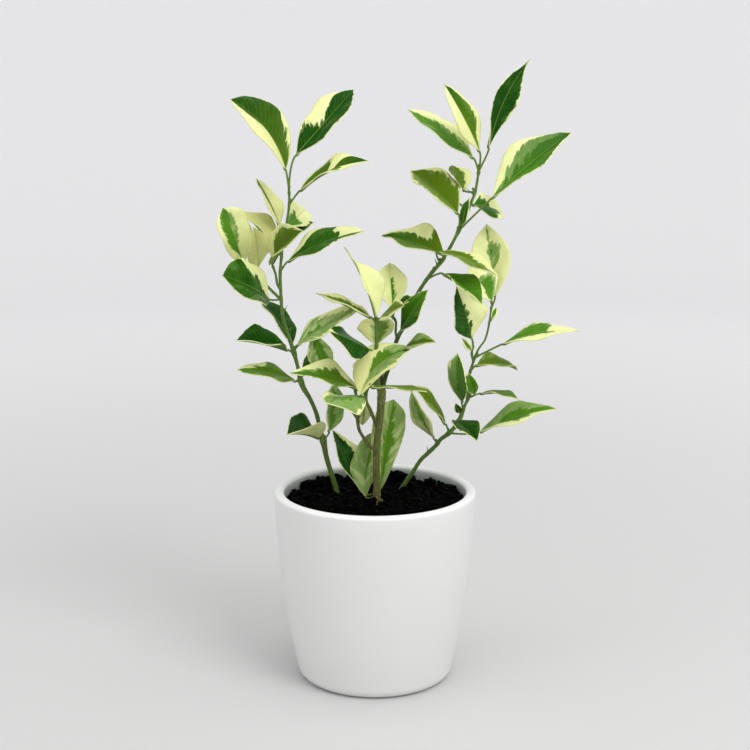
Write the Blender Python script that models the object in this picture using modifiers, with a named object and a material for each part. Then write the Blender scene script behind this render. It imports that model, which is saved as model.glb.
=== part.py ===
"""Potted calamondin: a small variegated citrus with three leafy stems in a round white pot.

The tables are in millimetres and the model is in metres, +Z up. The origin is the centre of the pot's
underside, and the front is -Y.
"""
import math
from typing import NamedTuple

import bmesh
import bpy
import numpy as np
from mathutils import Vector

MM = 0.001
GAP = 0.3

# Pot
POT_HEIGHT = 123.4
POT_WALL = 6.6
POT_FLOOR = 6.0
LIP_RADIUS = POT_WALL / 2
FOOT_FILLET = 7.0
FLOOR_FILLET = 5.0
WALL_SPANS = 4
ARC_SPANS = 4
TURN_STEPS = 32

# Soil
SOIL_LEVEL = 114.0
SOIL_RINGS = 6
SOIL_BACK_RISE = 2.0

# Leaves
BLADE_THICKNESS = 0.75
STALK_RADIUS = 1.0
TIP_RADIUS = 0.7
STALK_BEND = 0.3
STALK_STEPS = (1.0, 0.55, 0.0)
SHORT_STALK = 7.5
BLADE_STEPS = (0.11, 0.31, 0.52, 0.72, 0.89, 1.0)

# Places on the plant are given as they look from the front: across and up on the plane through the
# pot's axis, from an eye in front of it, and then how far behind that plane they lie.
EYE = np.array((0.0, -916.0, 383.4))
EYE_DISTANCE = 916.0

# Each twig's points from its root to its end: across, up, behind, radius
TWIGS = {
    "left_stem": [
        (-23, 93, 16, 2.0), (-23, 122, 16, 2.0), (-26, 130, 15, 1.8), (-31, 144, 14, 1.8), (-33, 155, 13, 2.2),
        (-35, 162, 13, 1.8), (-37, 172, 12, 1.8), (-41, 182, 11, 1.7), (-46, 191, 10, 2.1), (-49, 204, 9, 1.7),
        (-51, 212, 8, 2.0), (-55, 225, 6, 1.6), (-58, 236, 5, 1.5), (-59, 255, 4, 1.5), (-59, 264, 3, 1.4),
        (-58, 274, 2, 1.3), (-57, 283, 1, 1.2), (-55, 292, 0, 1.2), (-53, 305, -1, 1.2), (-53, 314, -2, 1.1)],
    "left_fork": [(-59, 252, 4, 1.0), (-61, 256, 2, 1.0), (-62, 262, 0, 0.9), (-64, 268, -1, 0.9)],
    "left_back": [(-59, 246, 4, 1.1), (-67, 254, 8, 1.0), (-73, 261, 10, 0.9), (-80, 267, 10, 0.8)],
    "trunk": [
        (1, 88, 0, 2.4), (1, 112, 0, 3.0), (1, 118, 0, 2.6), (1, 129, 0, 2.5), (1, 149, 0, 2.5), (3, 169, 0, 2.5),
        (4, 182, 0, 2.8), (5, 189, 0, 2.6)],
    "main_branch": [
        (4, 185, 0, 2.0), (6, 194, 1, 1.8), (9, 204, 2, 1.8), (14, 221, 3, 1.7), (19, 230, 4, 1.6),
        (24, 244, 4, 1.6), (28, 252, 4, 1.6), (34, 261, 4, 1.5), (39, 267, 4, 1.5), (44, 274, 3, 1.4),
        (50, 285, 2, 1.3), (54, 294, 2, 1.3), (60, 308, 1, 1.2), (62, 314, 1, 1.1), (64, 327, 0, 1.0)],
    "green_twig": [(3, 183, 0, 1.6), (2, 194, -2, 1.4), (1, 204, -3, 1.3), (1, 216, -3, 1.3), (1, 232, -3, 1.2)],
    "low_twig": [
        (1, 148, 0, 1.4), (-3, 151, -1, 1.3), (-6, 155, -2, 1.2), (-10, 162, -3, 1.2), (-11, 169, -4, 1.4),
        (-11, 180, -5, 1.1), (-13, 189, -6, 1.0)],
    "low_stub": [(-11, 169, -4, 1.1), (-15, 175, -4, 1.0), (-18, 179, -4, 0.9)],
    "near_twig": [
        (1, 165, 0, 1.4), (-3, 175, -9, 1.3), (-6, 182, -17, 1.2), (-5, 188, -21, 1.1), (-4, 191, -23, 1.1)],
    "third_twig": [(4, 184, 0, 1.3), (4, 198, 3, 1.2), (7, 207, 4, 1.1), (14, 212, 4, 1.0)],
    "thin_twig": [(14, 220, 3, 0.9), (13, 225, 6, 0.9), (13, 232, 8, 0.9), (10, 236, 9, 0.8)],
    "right_stem": [
        (9, 93, 25, 1.9), (16, 124, 24, 1.8), (19, 128, 22, 1.7), (23, 134, 21, 1.7), (27, 142, 20, 1.7),
        (31, 147, 19, 1.9), (36, 152, 18, 1.7), (40, 156, 17, 1.7), (45, 159, 16, 1.8), (49, 163, 15, 1.8),
        (53, 167, 14, 2.0), (55, 172, 13, 1.9), (57, 178, 12, 1.7), (59, 183, 12, 1.9), (59, 191, 11, 1.5),
        (60, 199, 10, 1.6), (62, 206, 10, 1.5), (65, 214, 9, 1.2), (69, 220, 9, 1.1), (71, 227, 8, 1.2),
        (72, 234, 8, 1.0), (73, 242, 7, 1.0)],
    "right_fork": [(62, 206, 10, 1.0), (61, 212, 9, 1.0), (62, 217, 8, 0.9)],
}


class Leaf(NamedTuple):
    """One leaf: the twig and height its stalk grows at, its blade's two ends, and its blade's form.

    turn is how far the upper side faces right of the eye, fold how far each half rises from the rib,
    and twist the change of turn from base to tip, all in degrees. arch and sway are the rib's bulge
    towards the upper side and to the leaf's right, in parts of its length. The outline is widest at
    the part widest of the length, and a higher point makes its ends slimmer.
    """
    twig: str
    height: float
    base: tuple
    tip: tuple
    width: float
    turn: float
    fold: float = 15
    arch: float = 0.04
    sway: float = 0.0
    twist: float = 0.0
    widest: float = 0.45
    point: float = 1.4


LEFT_LEAVES = [
    # The pair at the top
    Leaf("left_stem", 314, (-55, 328, -3), (-88, 369, 12), 28, -42, 24, 0.05, 0.07, point=1.0),
    Leaf("left_stem", 313, (-47, 338, -1), (-13, 375, 14), 26, 41, 21, 0.03, 0.03, point=1.1),
    # Below the top pair
    Leaf("left_stem", 305, (-46, 314, -2), (-4, 332, -14), 20, 64, 21, 0.09, widest=0.7, point=1.2),
    Leaf("left_stem", 284, (-58, 292, 6), (-72, 321, 26), 20, -56, 19, 0.04),
    Leaf("left_stem", 287, (-54, 292, 6), (-43, 302, 34), 20, 0, 20),
    Leaf("left_stem", 279, (-55, 283, 8), (-38, 294, 22), 13, 45, 25, 0.10),
    Leaf("left_stem", 263, (-54, 270, 3), (-7, 289, 0), 26, 60, 16, 0.06),
    Leaf("left_stem", 273, (-63, 279, 2), (-83, 301, 20), 24, -60, 30, 0.04),
    # On the front fork
    Leaf("left_fork", 267, (-64, 269, -3), (-45, 289, -38), 28, 56, 34, point=1.1),
    # On the back twig
    Leaf("left_back", 261, (-73, 266, 9), (-75, 291, -12), 18, -35, 12),
    Leaf("left_back", 267, (-82, 268, 9), (-94, 303, -6), 24, -28, 20, widest=0.7, point=1.0),
    Leaf("left_back", 261, (-74, 264, 12), (-78, 274, 26), 5, 0, 10),
    # Half way up
    Leaf("left_stem", 246, (-66, 246, 0), (-95, 261, -34), 31, -43, 22, 0.05, point=1.0),
    Leaf("left_stem", 212, (-52, 217, 10), (-72, 247, 38), 24, -60, 20, 0.03),
    Leaf("left_stem", 211, (-55, 214, 6), (-87, 220, -20), 26, -53, 31, 0.03),
    Leaf("left_stem", 213, (-49, 217, 5), (-8, 242, 12), 22, 52, 12, 0.04, widest=0.34, point=1.2),
    Leaf("left_stem", 213, (-39, 224, 7), (-29, 198, 10), 17, -10, 15, 0.05),
    Leaf("left_stem", 199, (-46, 201, 12), (-30, 209, 30), 15, 30, 20),
    Leaf("left_stem", 193, (-50, 194, 8), (-87, 201, -12), 21, -62, 8, 0.05),
    # Low down
    Leaf("left_stem", 156, (-36, 157, 12), (-56, 159, -22), 30, -73, 47),
    Leaf("left_stem", 155, (-29, 161, 14), (-26, 193, 28), 20, -48, 15, widest=0.55),
    # Growing away at the back
    Leaf("left_stem", 280, (-61, 277, 10), (-68, 286, 50), 20, 23),
    Leaf("left_stem", 195, (-45, 198, 17), (-34, 207, 61), 20, 1),
]

CENTRE_LEAVES = [
    # Round the trunk's head
    Leaf("near_twig", 185, (-7, 184, -20), (-31, 180, -50), 29, -58, -14, 0.03, widest=0.68, point=0.9),
    Leaf("low_twig", 187, (-11, 189, -8), (-54, 199, -26), 27, -53, 30, 0.04, widest=0.34, point=1.6),
    Leaf("near_twig", 190, (-2, 190, -24), (33, 187, -44), 16, 80, 3, 0.03, widest=0.35),
    Leaf("near_twig", 184, (-9, 185, -25), (23, 215, -6), 29, 46, 16, 0.04, -0.16, widest=0.38, point=1.0),
    Leaf("third_twig", 212, (17, 213, 3), (38, 219, -16), 15, 62, 20, 0.08),
    Leaf("near_twig", 182, (-6, 180, -4), (-8, 165, 12), 9, 30, 10),
    # On the green and thin twigs
    Leaf("green_twig", 231, (-3, 235, -3), (-37, 250, 10), 20, -74, 12, 0.02),
    Leaf("green_twig", 212, (1, 217, 2), (0, 234, 34), 25, 0, 15),
    Leaf("green_twig", 212, (-3, 214, -5), (-29, 226, -34), 26, -60, -12, 0.02),
    Leaf("green_twig", 231, (1, 235, -4), (-19, 279, 4), 25, -58, 32, 0.03, 0.02, widest=0.34, point=1.9),
    Leaf("thin_twig", 235, (11, 240, 9), (9, 268, 28), 26, 0, 30),
    Leaf("green_twig", 231, (3, 234, -5), (18, 242, -34), 16, 65, 5, 0.03),
    Leaf("thin_twig", 234, (12, 241, 8), (26, 246, -10), 10, 60, 15, 0.06),
    Leaf("main_branch", 222, (16, 226, -2), (33, 252, -18), 16, 40, 12, 0.02),
    # The three large leaves at the trunk's foot
    Leaf("trunk", 119, (-6, 118, 5), (2, 161, 16), 20, 20, 20, 0.03, -0.08, point=1.2),
    Leaf("trunk", 119, (3, 122, 6), (12, 182, 20), 22, -12, 15, 0.04, -0.03, widest=0.6, point=1.0),
    Leaf("trunk", 120, (-9, 122, 10), (-27, 162, 26), 22, -45, 15, 0.05),
    # The four at the main branch's end
    Leaf("main_branch", 326, (70, 340, 0), (94, 393, -4), 17, -25, 20, 0.02, -0.04, 60, widest=0.55),
    Leaf("main_branch", 326, (64, 338, -4), (42, 378, -12), 22, -45, 12, 0.03),
    Leaf("main_branch", 325, (60, 334, -2), (20, 363, 10), 22, -54, 12, 0.03, 0.02),
    Leaf("main_branch", 289, (73, 310, 2), (120, 349, 16), 32, 45, 30, 0.03, point=1.2),
    # Along the main branch
    Leaf("main_branch", 288, (51, 300, -4), (22, 326, 24), 31, -47, 27, 0.03, point=1.2),
    Leaf("main_branch", 313, (55, 314, 6), (48, 329, 28), 16, -40, 20, point=1.0),
    Leaf("main_branch", 305, (61, 305, 6), (79, 300, 34), 22, 50, 10),
    Leaf("main_branch", 290, (54, 292, -2), (61, 314, -14), 11, 35, 15),
    Leaf("main_branch", 263, (43, 274, -1), (4, 286, 34), 31, -52, 29, 0.03, widest=0.32),
    Leaf("main_branch", 269, (40, 276, -8), (76, 261, -26), 20, 66, 8, 0.07),
    Leaf("main_branch", 258, (43, 262, -5), (67, 243, -28), 21, 56, 31),
    # Growing away at the back
    Leaf("main_branch", 301, (51, 307, 12), (47, 314, 53), 20, 13),
    Leaf("trunk", 183, (3, 190, 5), (0, 199, 41), 20, 9),
    Leaf("green_twig", 202, (0, 201, 4), (-9, 207, 41), 20, -31),
]

RIGHT_LEAVES = [
    # The top three and the two new shoots below them
    Leaf("right_stem", 241, (75, 248, 13), (69, 293, 30), 29, 0, 28, 0.03),
    Leaf("right_stem", 241, (73, 245, 4), (58, 266, 8), 24, -40, 18, 0.05, point=1.1),
    Leaf("right_fork", 216, (61, 221, 6), (51, 254, -6), 28, -34, 18, 0.03),
    Leaf("right_fork", 211, (61, 213, 8), (55, 221, 2), 5, 0, 15),
    Leaf("right_stem", 231, (73, 233, 9), (76, 241, 14), 5, 0, 15),
    # Half way up
    Leaf("right_stem", 209, (81, 218, 8), (128, 226, 0), 22, 64, 8, 0.07),
    Leaf("right_stem", 200, (64, 204, 10), (90, 201, 32), 19, 66, 21, 0.08),
    Leaf("right_stem", 175, (55, 180, 8), (52, 212, -14), 18, 45, 12, 0.02, widest=0.6),
    Leaf("right_stem", 183, (63, 185, 8), (59, 199, -4), 8.5, 0, 20, point=1.0),
    Leaf("right_stem", 183, (67, 186, 12), (91, 182, -6), 13, 74, 8, 0.08),
    Leaf("right_stem", 171, (54, 173, 10), (51, 179, 4), 5, 0, 15, point=1.0),
    # Low down
    Leaf("right_stem", 167, (50, 168, 8), (65, 155, -18), 19, 50, 25, point=1.0),
    Leaf("right_stem", 160, (67, 161, 12), (115, 176, 0), 25, 60, 16, 0.05, widest=0.5),
    Leaf("right_stem", 153, (37, 157, 14), (23, 187, -6), 15, 48, 12),
    Leaf("right_stem", 160, (45, 166, 12), (23, 191, -8), 17, -66, 15),
    # Growing away at the back
    Leaf("right_stem", 191, (59, 197, 22), (53, 188, 56), 20, -10),
]

# Each node's twigs, the rooted one first, and its leaves
LEAFY_STEMS = {
    "leafy_stem_left": (("left_stem", "left_fork", "left_back"), LEFT_LEAVES),
    "leafy_stem_centre": (
        ("trunk", "main_branch", "green_twig", "low_twig", "low_stub", "near_twig", "third_twig", "thin_twig"),
        CENTRE_LEAVES),
    "leafy_stem_right": (("right_stem", "right_fork"), RIGHT_LEAVES),
}


# Points of the plant

def place(across, up, behind):
    seen = np.array((across, 0.0, up), dtype=float)
    return EYE + (seen - EYE) * (1 + behind / EYE_DISTANCE)


def unit(vector):
    return vector / np.linalg.norm(vector)


def twig_point(twig, height):
    across, up, behind, _ = np.array(TWIGS[twig], dtype=float).T
    return place(np.interp(height, up, across), height, np.interp(height, up, behind))


def outline(along, widest, point):
    """The blade's half width at a part of its length, from 0 at its ends to 1 where it is widest."""
    near = point * widest
    far = point * (1 - widest)
    return along ** near * (1 - along) ** far / (widest ** near * (1 - widest) ** far)


class Blade:
    """The curved surface of one leaf's blade, in millimetres."""

    def __init__(self, leaf):
        self.leaf = leaf
        self.base = place(*leaf.base)
        self.tip = place(*leaf.tip)
        run = self.tip - self.base
        self.along = unit(run)
        middle = (self.base + self.tip) / 2
        view = EYE - middle
        self.to_eye = unit(view - np.dot(view, self.along) * self.along)
        upper, side = self.facing(0.5)
        self.bend = middle + 2 * np.linalg.norm(run) * (leaf.arch * upper + leaf.sway * side)

    def facing(self, t):
        angle = math.radians(self.leaf.turn + self.leaf.twist * (t - 0.5))
        right = np.cross(self.along, self.to_eye)
        upper = math.cos(angle) * self.to_eye - math.sin(angle) * right
        return upper, np.cross(self.along, upper)

    def rib(self, t):
        """The rib's point at t, with its direction, its upper side and its right side there."""
        point = (1 - t) ** 2 * self.base + 2 * t * (1 - t) * self.bend + t ** 2 * self.tip
        ahead = unit((1 - t) * (self.bend - self.base) + t * (self.tip - self.bend))
        upper = self.facing(t)[0]
        upper = unit(upper - np.dot(upper, ahead) * ahead)
        return point, ahead, upper, np.cross(ahead, upper)

    def ring(self, t):
        """Six points round the blade at t: left, rib and right above, then right, rib and left below."""
        point, _, upper, side = self.rib(t)
        half = self.leaf.width / 2 * outline(t, self.leaf.widest, self.leaf.point)
        half = max(half, TIP_RADIUS)
        fold = math.radians(self.leaf.fold)
        right = half * (math.cos(fold) * side + math.sin(fold) * upper)
        left = half * (math.sin(fold) * upper - math.cos(fold) * side)
        skin = upper * BLADE_THICKNESS / 2 / math.cos(fold)
        above = [point + edge + skin for edge in (left, 0 * side, right)]
        below = [point + edge - skin for edge in (right, 0 * side, left)]
        return above + below


def stalk_rings(leaf, blade):
    """Rings of six points from the twig's middle to the blade's base, turned no more than their heading."""
    root = twig_point(leaf.twig, leaf.height)
    base, heading, top, _ = blade.rib(0)
    length = np.linalg.norm(base - root)
    bend = base - heading * length * STALK_BEND
    rings = []
    for step in STALK_STEPS if length > SHORT_STALK else STALK_STEPS[::2]:
        point = (1 - step) ** 2 * root + 2 * step * (1 - step) * bend + step ** 2 * base
        ahead = unit((1 - step) * (bend - root) + step * (base - bend))
        top = np.array(Vector(heading).rotation_difference(Vector(ahead)) @ Vector(top))
        heading = ahead
        side = np.cross(heading, top)
        angles = [math.radians(150 - 60 * corner) for corner in range(6)]
        rings.insert(0, [point + STALK_RADIUS * (math.cos(a) * side + math.sin(a) * top) for a in angles])
    return rings


# Blender helpers

def clear_scene():
    for obj in list(bpy.data.objects):
        bpy.data.objects.remove(obj, do_unlink=True)


def new_collection(name):
    collection = bpy.data.collections.new(name)
    bpy.context.scene.collection.children.link(collection)
    return collection


def material(name, colour, roughness):
    made = bpy.data.materials.new(name)
    made.use_nodes = True
    shader = made.node_tree.nodes["Principled BSDF"]
    shader.inputs["Base Color"].default_value = (*colour, 1.0)
    shader.inputs["Roughness"].default_value = roughness
    shader.inputs["Metallic"].default_value = 0.0
    made.diffuse_color = (*colour, 1.0)
    return made


def new_object(name, mesh, collection):
    obj = bpy.data.objects.new(name, mesh)
    collection.objects.link(obj)
    return obj


def applied(obj):
    """A new mesh of the object as it looks with its modifiers."""
    graph = bpy.context.evaluated_depsgraph_get()
    return bpy.data.meshes.new_from_object(obj.evaluated_get(graph))


def turned(name, profile, collection):
    """A body turned round Z from a profile of (radius, height) points."""
    mesh = bpy.data.meshes.new(name)
    points = [(radius * MM, 0.0, height * MM) for radius, height in profile]
    edges = [(i, i + 1) for i in range(len(points) - 1)]
    mesh.from_pydata(points, edges, [])
    obj = new_object(name, mesh, collection)
    screw = obj.modifiers.new("Turn", "SCREW")
    screw.steps = TURN_STEPS
    screw.render_steps = TURN_STEPS
    screw.use_merge_vertices = True
    screw.merge_threshold = 0.00001
    screw.use_smooth_shade = True
    return obj


def arc(centre, radius, start, end):
    """Points of an arc in a profile, from one angle to another in degrees."""
    angles = [math.radians(start + (end - start) * i / ARC_SPANS) for i in range(ARC_SPANS + 1)]
    return [(centre[0] + radius * math.cos(a), centre[1] + radius * math.sin(a)) for a in angles]


# Pot

def pot_radius(height):
    part = height / POT_HEIGHT
    return 49.06 + 27.61 * part - 11.94 * part ** 2


def bore_radius(height):
    return pot_radius(height) - POT_WALL


def levels(low, high):
    return [low + (high - low) * i / WALL_SPANS for i in range(WALL_SPANS + 1)]


def make_pot(collection):
    lip_level = POT_HEIGHT - LIP_RADIUS
    inside = levels(POT_FLOOR + FLOOR_FILLET, lip_level)
    outside = levels(FOOT_FILLET, lip_level)
    profile = [(0.0, POT_FLOOR), (bore_radius(inside[0]) - FLOOR_FILLET, POT_FLOOR)]
    profile += [(bore_radius(z), z) for z in inside[:-1]]
    profile += arc((pot_radius(lip_level) - LIP_RADIUS, lip_level), LIP_RADIUS, 180, 0)
    profile += [(pot_radius(z), z) for z in outside[-2:0:-1]]
    profile += arc((pot_radius(FOOT_FILLET) - FOOT_FILLET, FOOT_FILLET), FOOT_FILLET, 0, -90)
    profile += [(0.0, 0.0)]
    pot = turned("pot", profile, collection)
    pot.data.materials.append(material("glazed_ceramic", (0.80, 0.80, 0.79), 0.18))


# Soil

def soil_relief(x, y):
    """How far the crumbly surface stands above its level, with more at the back edge."""
    lumps = math.sin(0.33 * x + 0.9) * math.cos(0.29 * y - 0.4) + 0.7 * math.sin(0.21 * x - 0.47 * y)
    back = max(0.0, (y - 20) / 36)
    return 0.9 * lumps + SOIL_BACK_RISE * back ** 2


def make_soil(collection, cutters):
    lip_level = POT_HEIGHT - LIP_RADIUS
    sides = [z for z in levels(POT_FLOOR + FLOOR_FILLET, lip_level) if z < SOIL_LEVEL - 3]
    edge = bore_radius(SOIL_LEVEL) - GAP
    profile = [(edge * i / SOIL_RINGS, SOIL_LEVEL) for i in range(SOIL_RINGS + 1)]
    profile += [(bore_radius(z) - GAP, z) for z in reversed(sides)]
    profile += [(bore_radius(sides[0]) - FLOOR_FILLET - GAP, POT_FLOOR + GAP), (0.0, POT_FLOOR + GAP)]
    blank = turned("soil_blank", profile, collection)
    mesh = applied(blank)
    bpy.data.objects.remove(blank, do_unlink=True)
    for vertex in mesh.vertices:
        if vertex.co.z > (SOIL_LEVEL - 1) * MM:
            vertex.co.z += soil_relief(vertex.co.x / MM, vertex.co.y / MM) * MM
    soil = new_object("soil", mesh, collection)
    for twigs, _ in LEAFY_STEMS.values():
        cut_stem_hole(soil, twigs[0], cutters)
    soil.data.materials.append(material("potting_soil", (0.012, 0.009, 0.007), 0.95))


def cut_stem_hole(soil, twig, cutters):
    """A plain round hole along the stem's straight buried run, past the soil's surface."""
    sides = 12
    first, second = TWIGS[twig][:2]
    radius = (max(first[3], second[3]) + GAP) / math.cos(math.pi / sides)
    start = place(*first[:3])
    ahead = unit(place(*second[:3]) - start)
    low = Vector(start - GAP * ahead)
    high = Vector(start + 40 * ahead)
    bpy.ops.mesh.primitive_cylinder_add(
        vertices=sides, radius=radius * MM, depth=(high - low).length * MM, location=(low + high) / 2 * MM,
        rotation=Vector(ahead).to_track_quat("Z", "Y").to_euler())
    cutter = bpy.context.object
    cutter.name = f"{twig}_hole"
    cutter.hide_render = True
    cutter.display_type = "WIRE"
    for home in list(cutter.users_collection):
        home.objects.unlink(cutter)
    cutters.objects.link(cutter)
    cut = soil.modifiers.new(cutter.name, "BOOLEAN")
    cut.operation = "DIFFERENCE"
    cut.object = cutter


# Leafy stems

def twig_object(name, collection):
    curve = bpy.data.curves.new(name, "CURVE")
    curve.dimensions = "3D"
    curve.bevel_depth = MM
    curve.bevel_resolution = 2
    curve.use_fill_caps = True
    spline = curve.splines.new("POLY")
    spline.points.add(len(TWIGS[name]) - 1)
    for point, (across, up, behind, radius) in zip(spline.points, TWIGS[name]):
        point.co = (*(place(across, up, behind) * MM), 1.0)
        point.radius = radius
    guide = new_object(f"{name}_curve", curve, collection)
    mesh = applied(guide)
    solid = bmesh.new()
    solid.from_mesh(mesh)
    bmesh.ops.remove_doubles(solid, verts=solid.verts, dist=0.000001)
    solid.to_mesh(mesh)
    solid.free()
    twig = new_object(name, mesh, collection)
    twig.matrix_world = guide.matrix_world
    bpy.data.objects.remove(guide, do_unlink=True)
    return twig


def loft_span(solid, near, far, corner):
    """Two triangles between two rings, split alike on the blade's upper and lower sides."""
    a = corner
    b = (corner + 1) % 6
    if corner in (1, 4):
        solid.faces.new((near[a], near[b], far[a]))
        solid.faces.new((near[b], far[b], far[a]))
    else:
        solid.faces.new((near[a], near[b], far[b]))
        solid.faces.new((near[a], far[b], far[a]))


def leaf_object(name, leaf, collection):
    """A stalk and a thin folded blade, lofted through rings of six points."""
    blade = Blade(leaf)
    rings = stalk_rings(leaf, blade) + [blade.ring(t) for t in BLADE_STEPS]
    solid = bmesh.new()
    corners = [[solid.verts.new(point * MM) for point in ring] for ring in rings]
    for near, far in zip(corners, corners[1:]):
        for corner in range(6):
            loft_span(solid, near, far, corner)
    for end in (corners[0], corners[-1]):
        solid.faces.new((end[0], end[1], end[4], end[5]))
        solid.faces.new((end[1], end[2], end[3], end[4]))
    bmesh.ops.recalc_face_normals(solid, faces=solid.faces)
    mesh = bpy.data.meshes.new(name)
    solid.to_mesh(mesh)
    solid.free()
    return new_object(name, mesh, collection)


def make_leafy_stem(node, twigs, leaves, colour, collection):
    """One leafy stem: its twigs and leaves joined in one body by one union."""
    stem = twig_object(twigs[0], collection)
    growth = new_collection(f"{node}_growth")
    for twig in twigs[1:]:
        twig_object(twig, growth)
    for number, leaf in enumerate(leaves):
        leaf_object(f"{node}_leaf_{number}", leaf, growth)
    union = stem.modifiers.new("Join", "BOOLEAN")
    union.operation = "UNION"
    union.operand_type = "COLLECTION"
    union.collection = growth
    joined = new_object(node, applied(stem), collection)
    for obj in [stem, *growth.objects]:
        bpy.data.objects.remove(obj, do_unlink=True)
    bpy.data.collections.remove(growth)
    joined.data.materials.clear()
    joined.data.materials.append(material(f"{node}_green", colour, 0.35))


def main():
    clear_scene()
    parts = new_collection("potted_calamondin")
    cutters = new_collection("stem_holes")
    make_pot(parts)
    make_soil(parts, cutters)
    greens = {
        "leafy_stem_left": (0.16, 0.28, 0.05),
        "leafy_stem_centre": (0.18, 0.30, 0.06),
        "leafy_stem_right": (0.14, 0.27, 0.05),
    }
    for node, (twigs, leaves) in LEAFY_STEMS.items():
        make_leafy_stem(node, twigs, leaves, greens[node], parts)


main()
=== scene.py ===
"""Potted calamondin: the finished pot, soil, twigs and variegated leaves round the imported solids.

The plant's tables are in millimetres and the model is in metres. +Z is up and the front is -Y.
"""
import math
import random
from typing import NamedTuple

import bmesh
import bpy
import numpy as np
from bpy.props import FloatProperty, FloatVectorProperty, IntProperty, PointerProperty
from mathutils import Matrix, Vector, noise


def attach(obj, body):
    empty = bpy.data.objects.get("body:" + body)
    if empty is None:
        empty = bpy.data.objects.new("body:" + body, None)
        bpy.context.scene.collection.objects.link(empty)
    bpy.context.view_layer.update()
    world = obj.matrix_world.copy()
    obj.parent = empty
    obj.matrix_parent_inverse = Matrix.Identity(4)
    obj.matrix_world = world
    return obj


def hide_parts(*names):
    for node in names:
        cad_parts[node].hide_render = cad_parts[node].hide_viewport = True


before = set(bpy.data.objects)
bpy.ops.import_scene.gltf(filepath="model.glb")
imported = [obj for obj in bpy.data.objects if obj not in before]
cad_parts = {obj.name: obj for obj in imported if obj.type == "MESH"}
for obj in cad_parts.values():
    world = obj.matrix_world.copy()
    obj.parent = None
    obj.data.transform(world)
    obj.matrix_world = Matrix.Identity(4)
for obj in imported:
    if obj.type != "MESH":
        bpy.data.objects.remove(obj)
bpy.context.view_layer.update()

bl_info = {
    "name": "Potted calamondin",
    "version": (1, 0, 0),
    "blender": (4, 5, 0),
    "location": "3D View > Sidebar > Calamondin",
    "description": "Models a small variegated citrus in a round white pot",
    "category": "Add Mesh",
}

MM = 0.001

# The plant is placed as it looks from the front: across and up on the plane through the pot's axis,
# from an eye in front of it, and then how far behind that plane. EYE_PITCH is how far the eye looks
# down, in degrees.
EYE_DISTANCE = 916.0
EYE = np.array((0.0, -EYE_DISTANCE, 383.4))
EYE_PITCH = 11.46

# The pot's outer radius is FOOT_RADIUS + SPREAD * part + BOW * part ** 2 at a part of its height
FOOT_RADIUS, SPREAD, BOW = 49.06, 27.61, -11.94

# Each lamp's place and the width of its disc, and the height of the backdrop's upper edge, in metres
LAMPS = {
    "key": ((0.75, -0.95, 1.35), 0.9),
    "fill": ((-1.1, -0.6, 0.8), 1.0),
    "top": ((0.1, -0.1, 1.7), 0.9),
}
BACKDROP_TOP = 1.1

BUD_RADIUS = 0.8 * MM

# The sizes of the soil's crumbs, in parts of a middling one, and half the size of its fibres in metres
CRUMB_SIZES = (0.4, 0.5, 0.7, 1.0, 1.4, 1.9)
FIBRE = (0.0034, 0.0003, 0.0003)

# One in so many crumbs lies against the wall, and one in so many is a fibre
WALL_EVERY, FIBRE_EVERY = 6, 20

# In metres: where the larger clumps at the back begin, and the room round the middle of a stem
BACK, STEM_ROOM = 0.012, 0.0032

# The height at which a stem comes out of the soil, in millimetres
STEM_FOOT = 116

# The rounding between a floor and an inner wall, in metres
INNER_ROUNDING = 0.005

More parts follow.
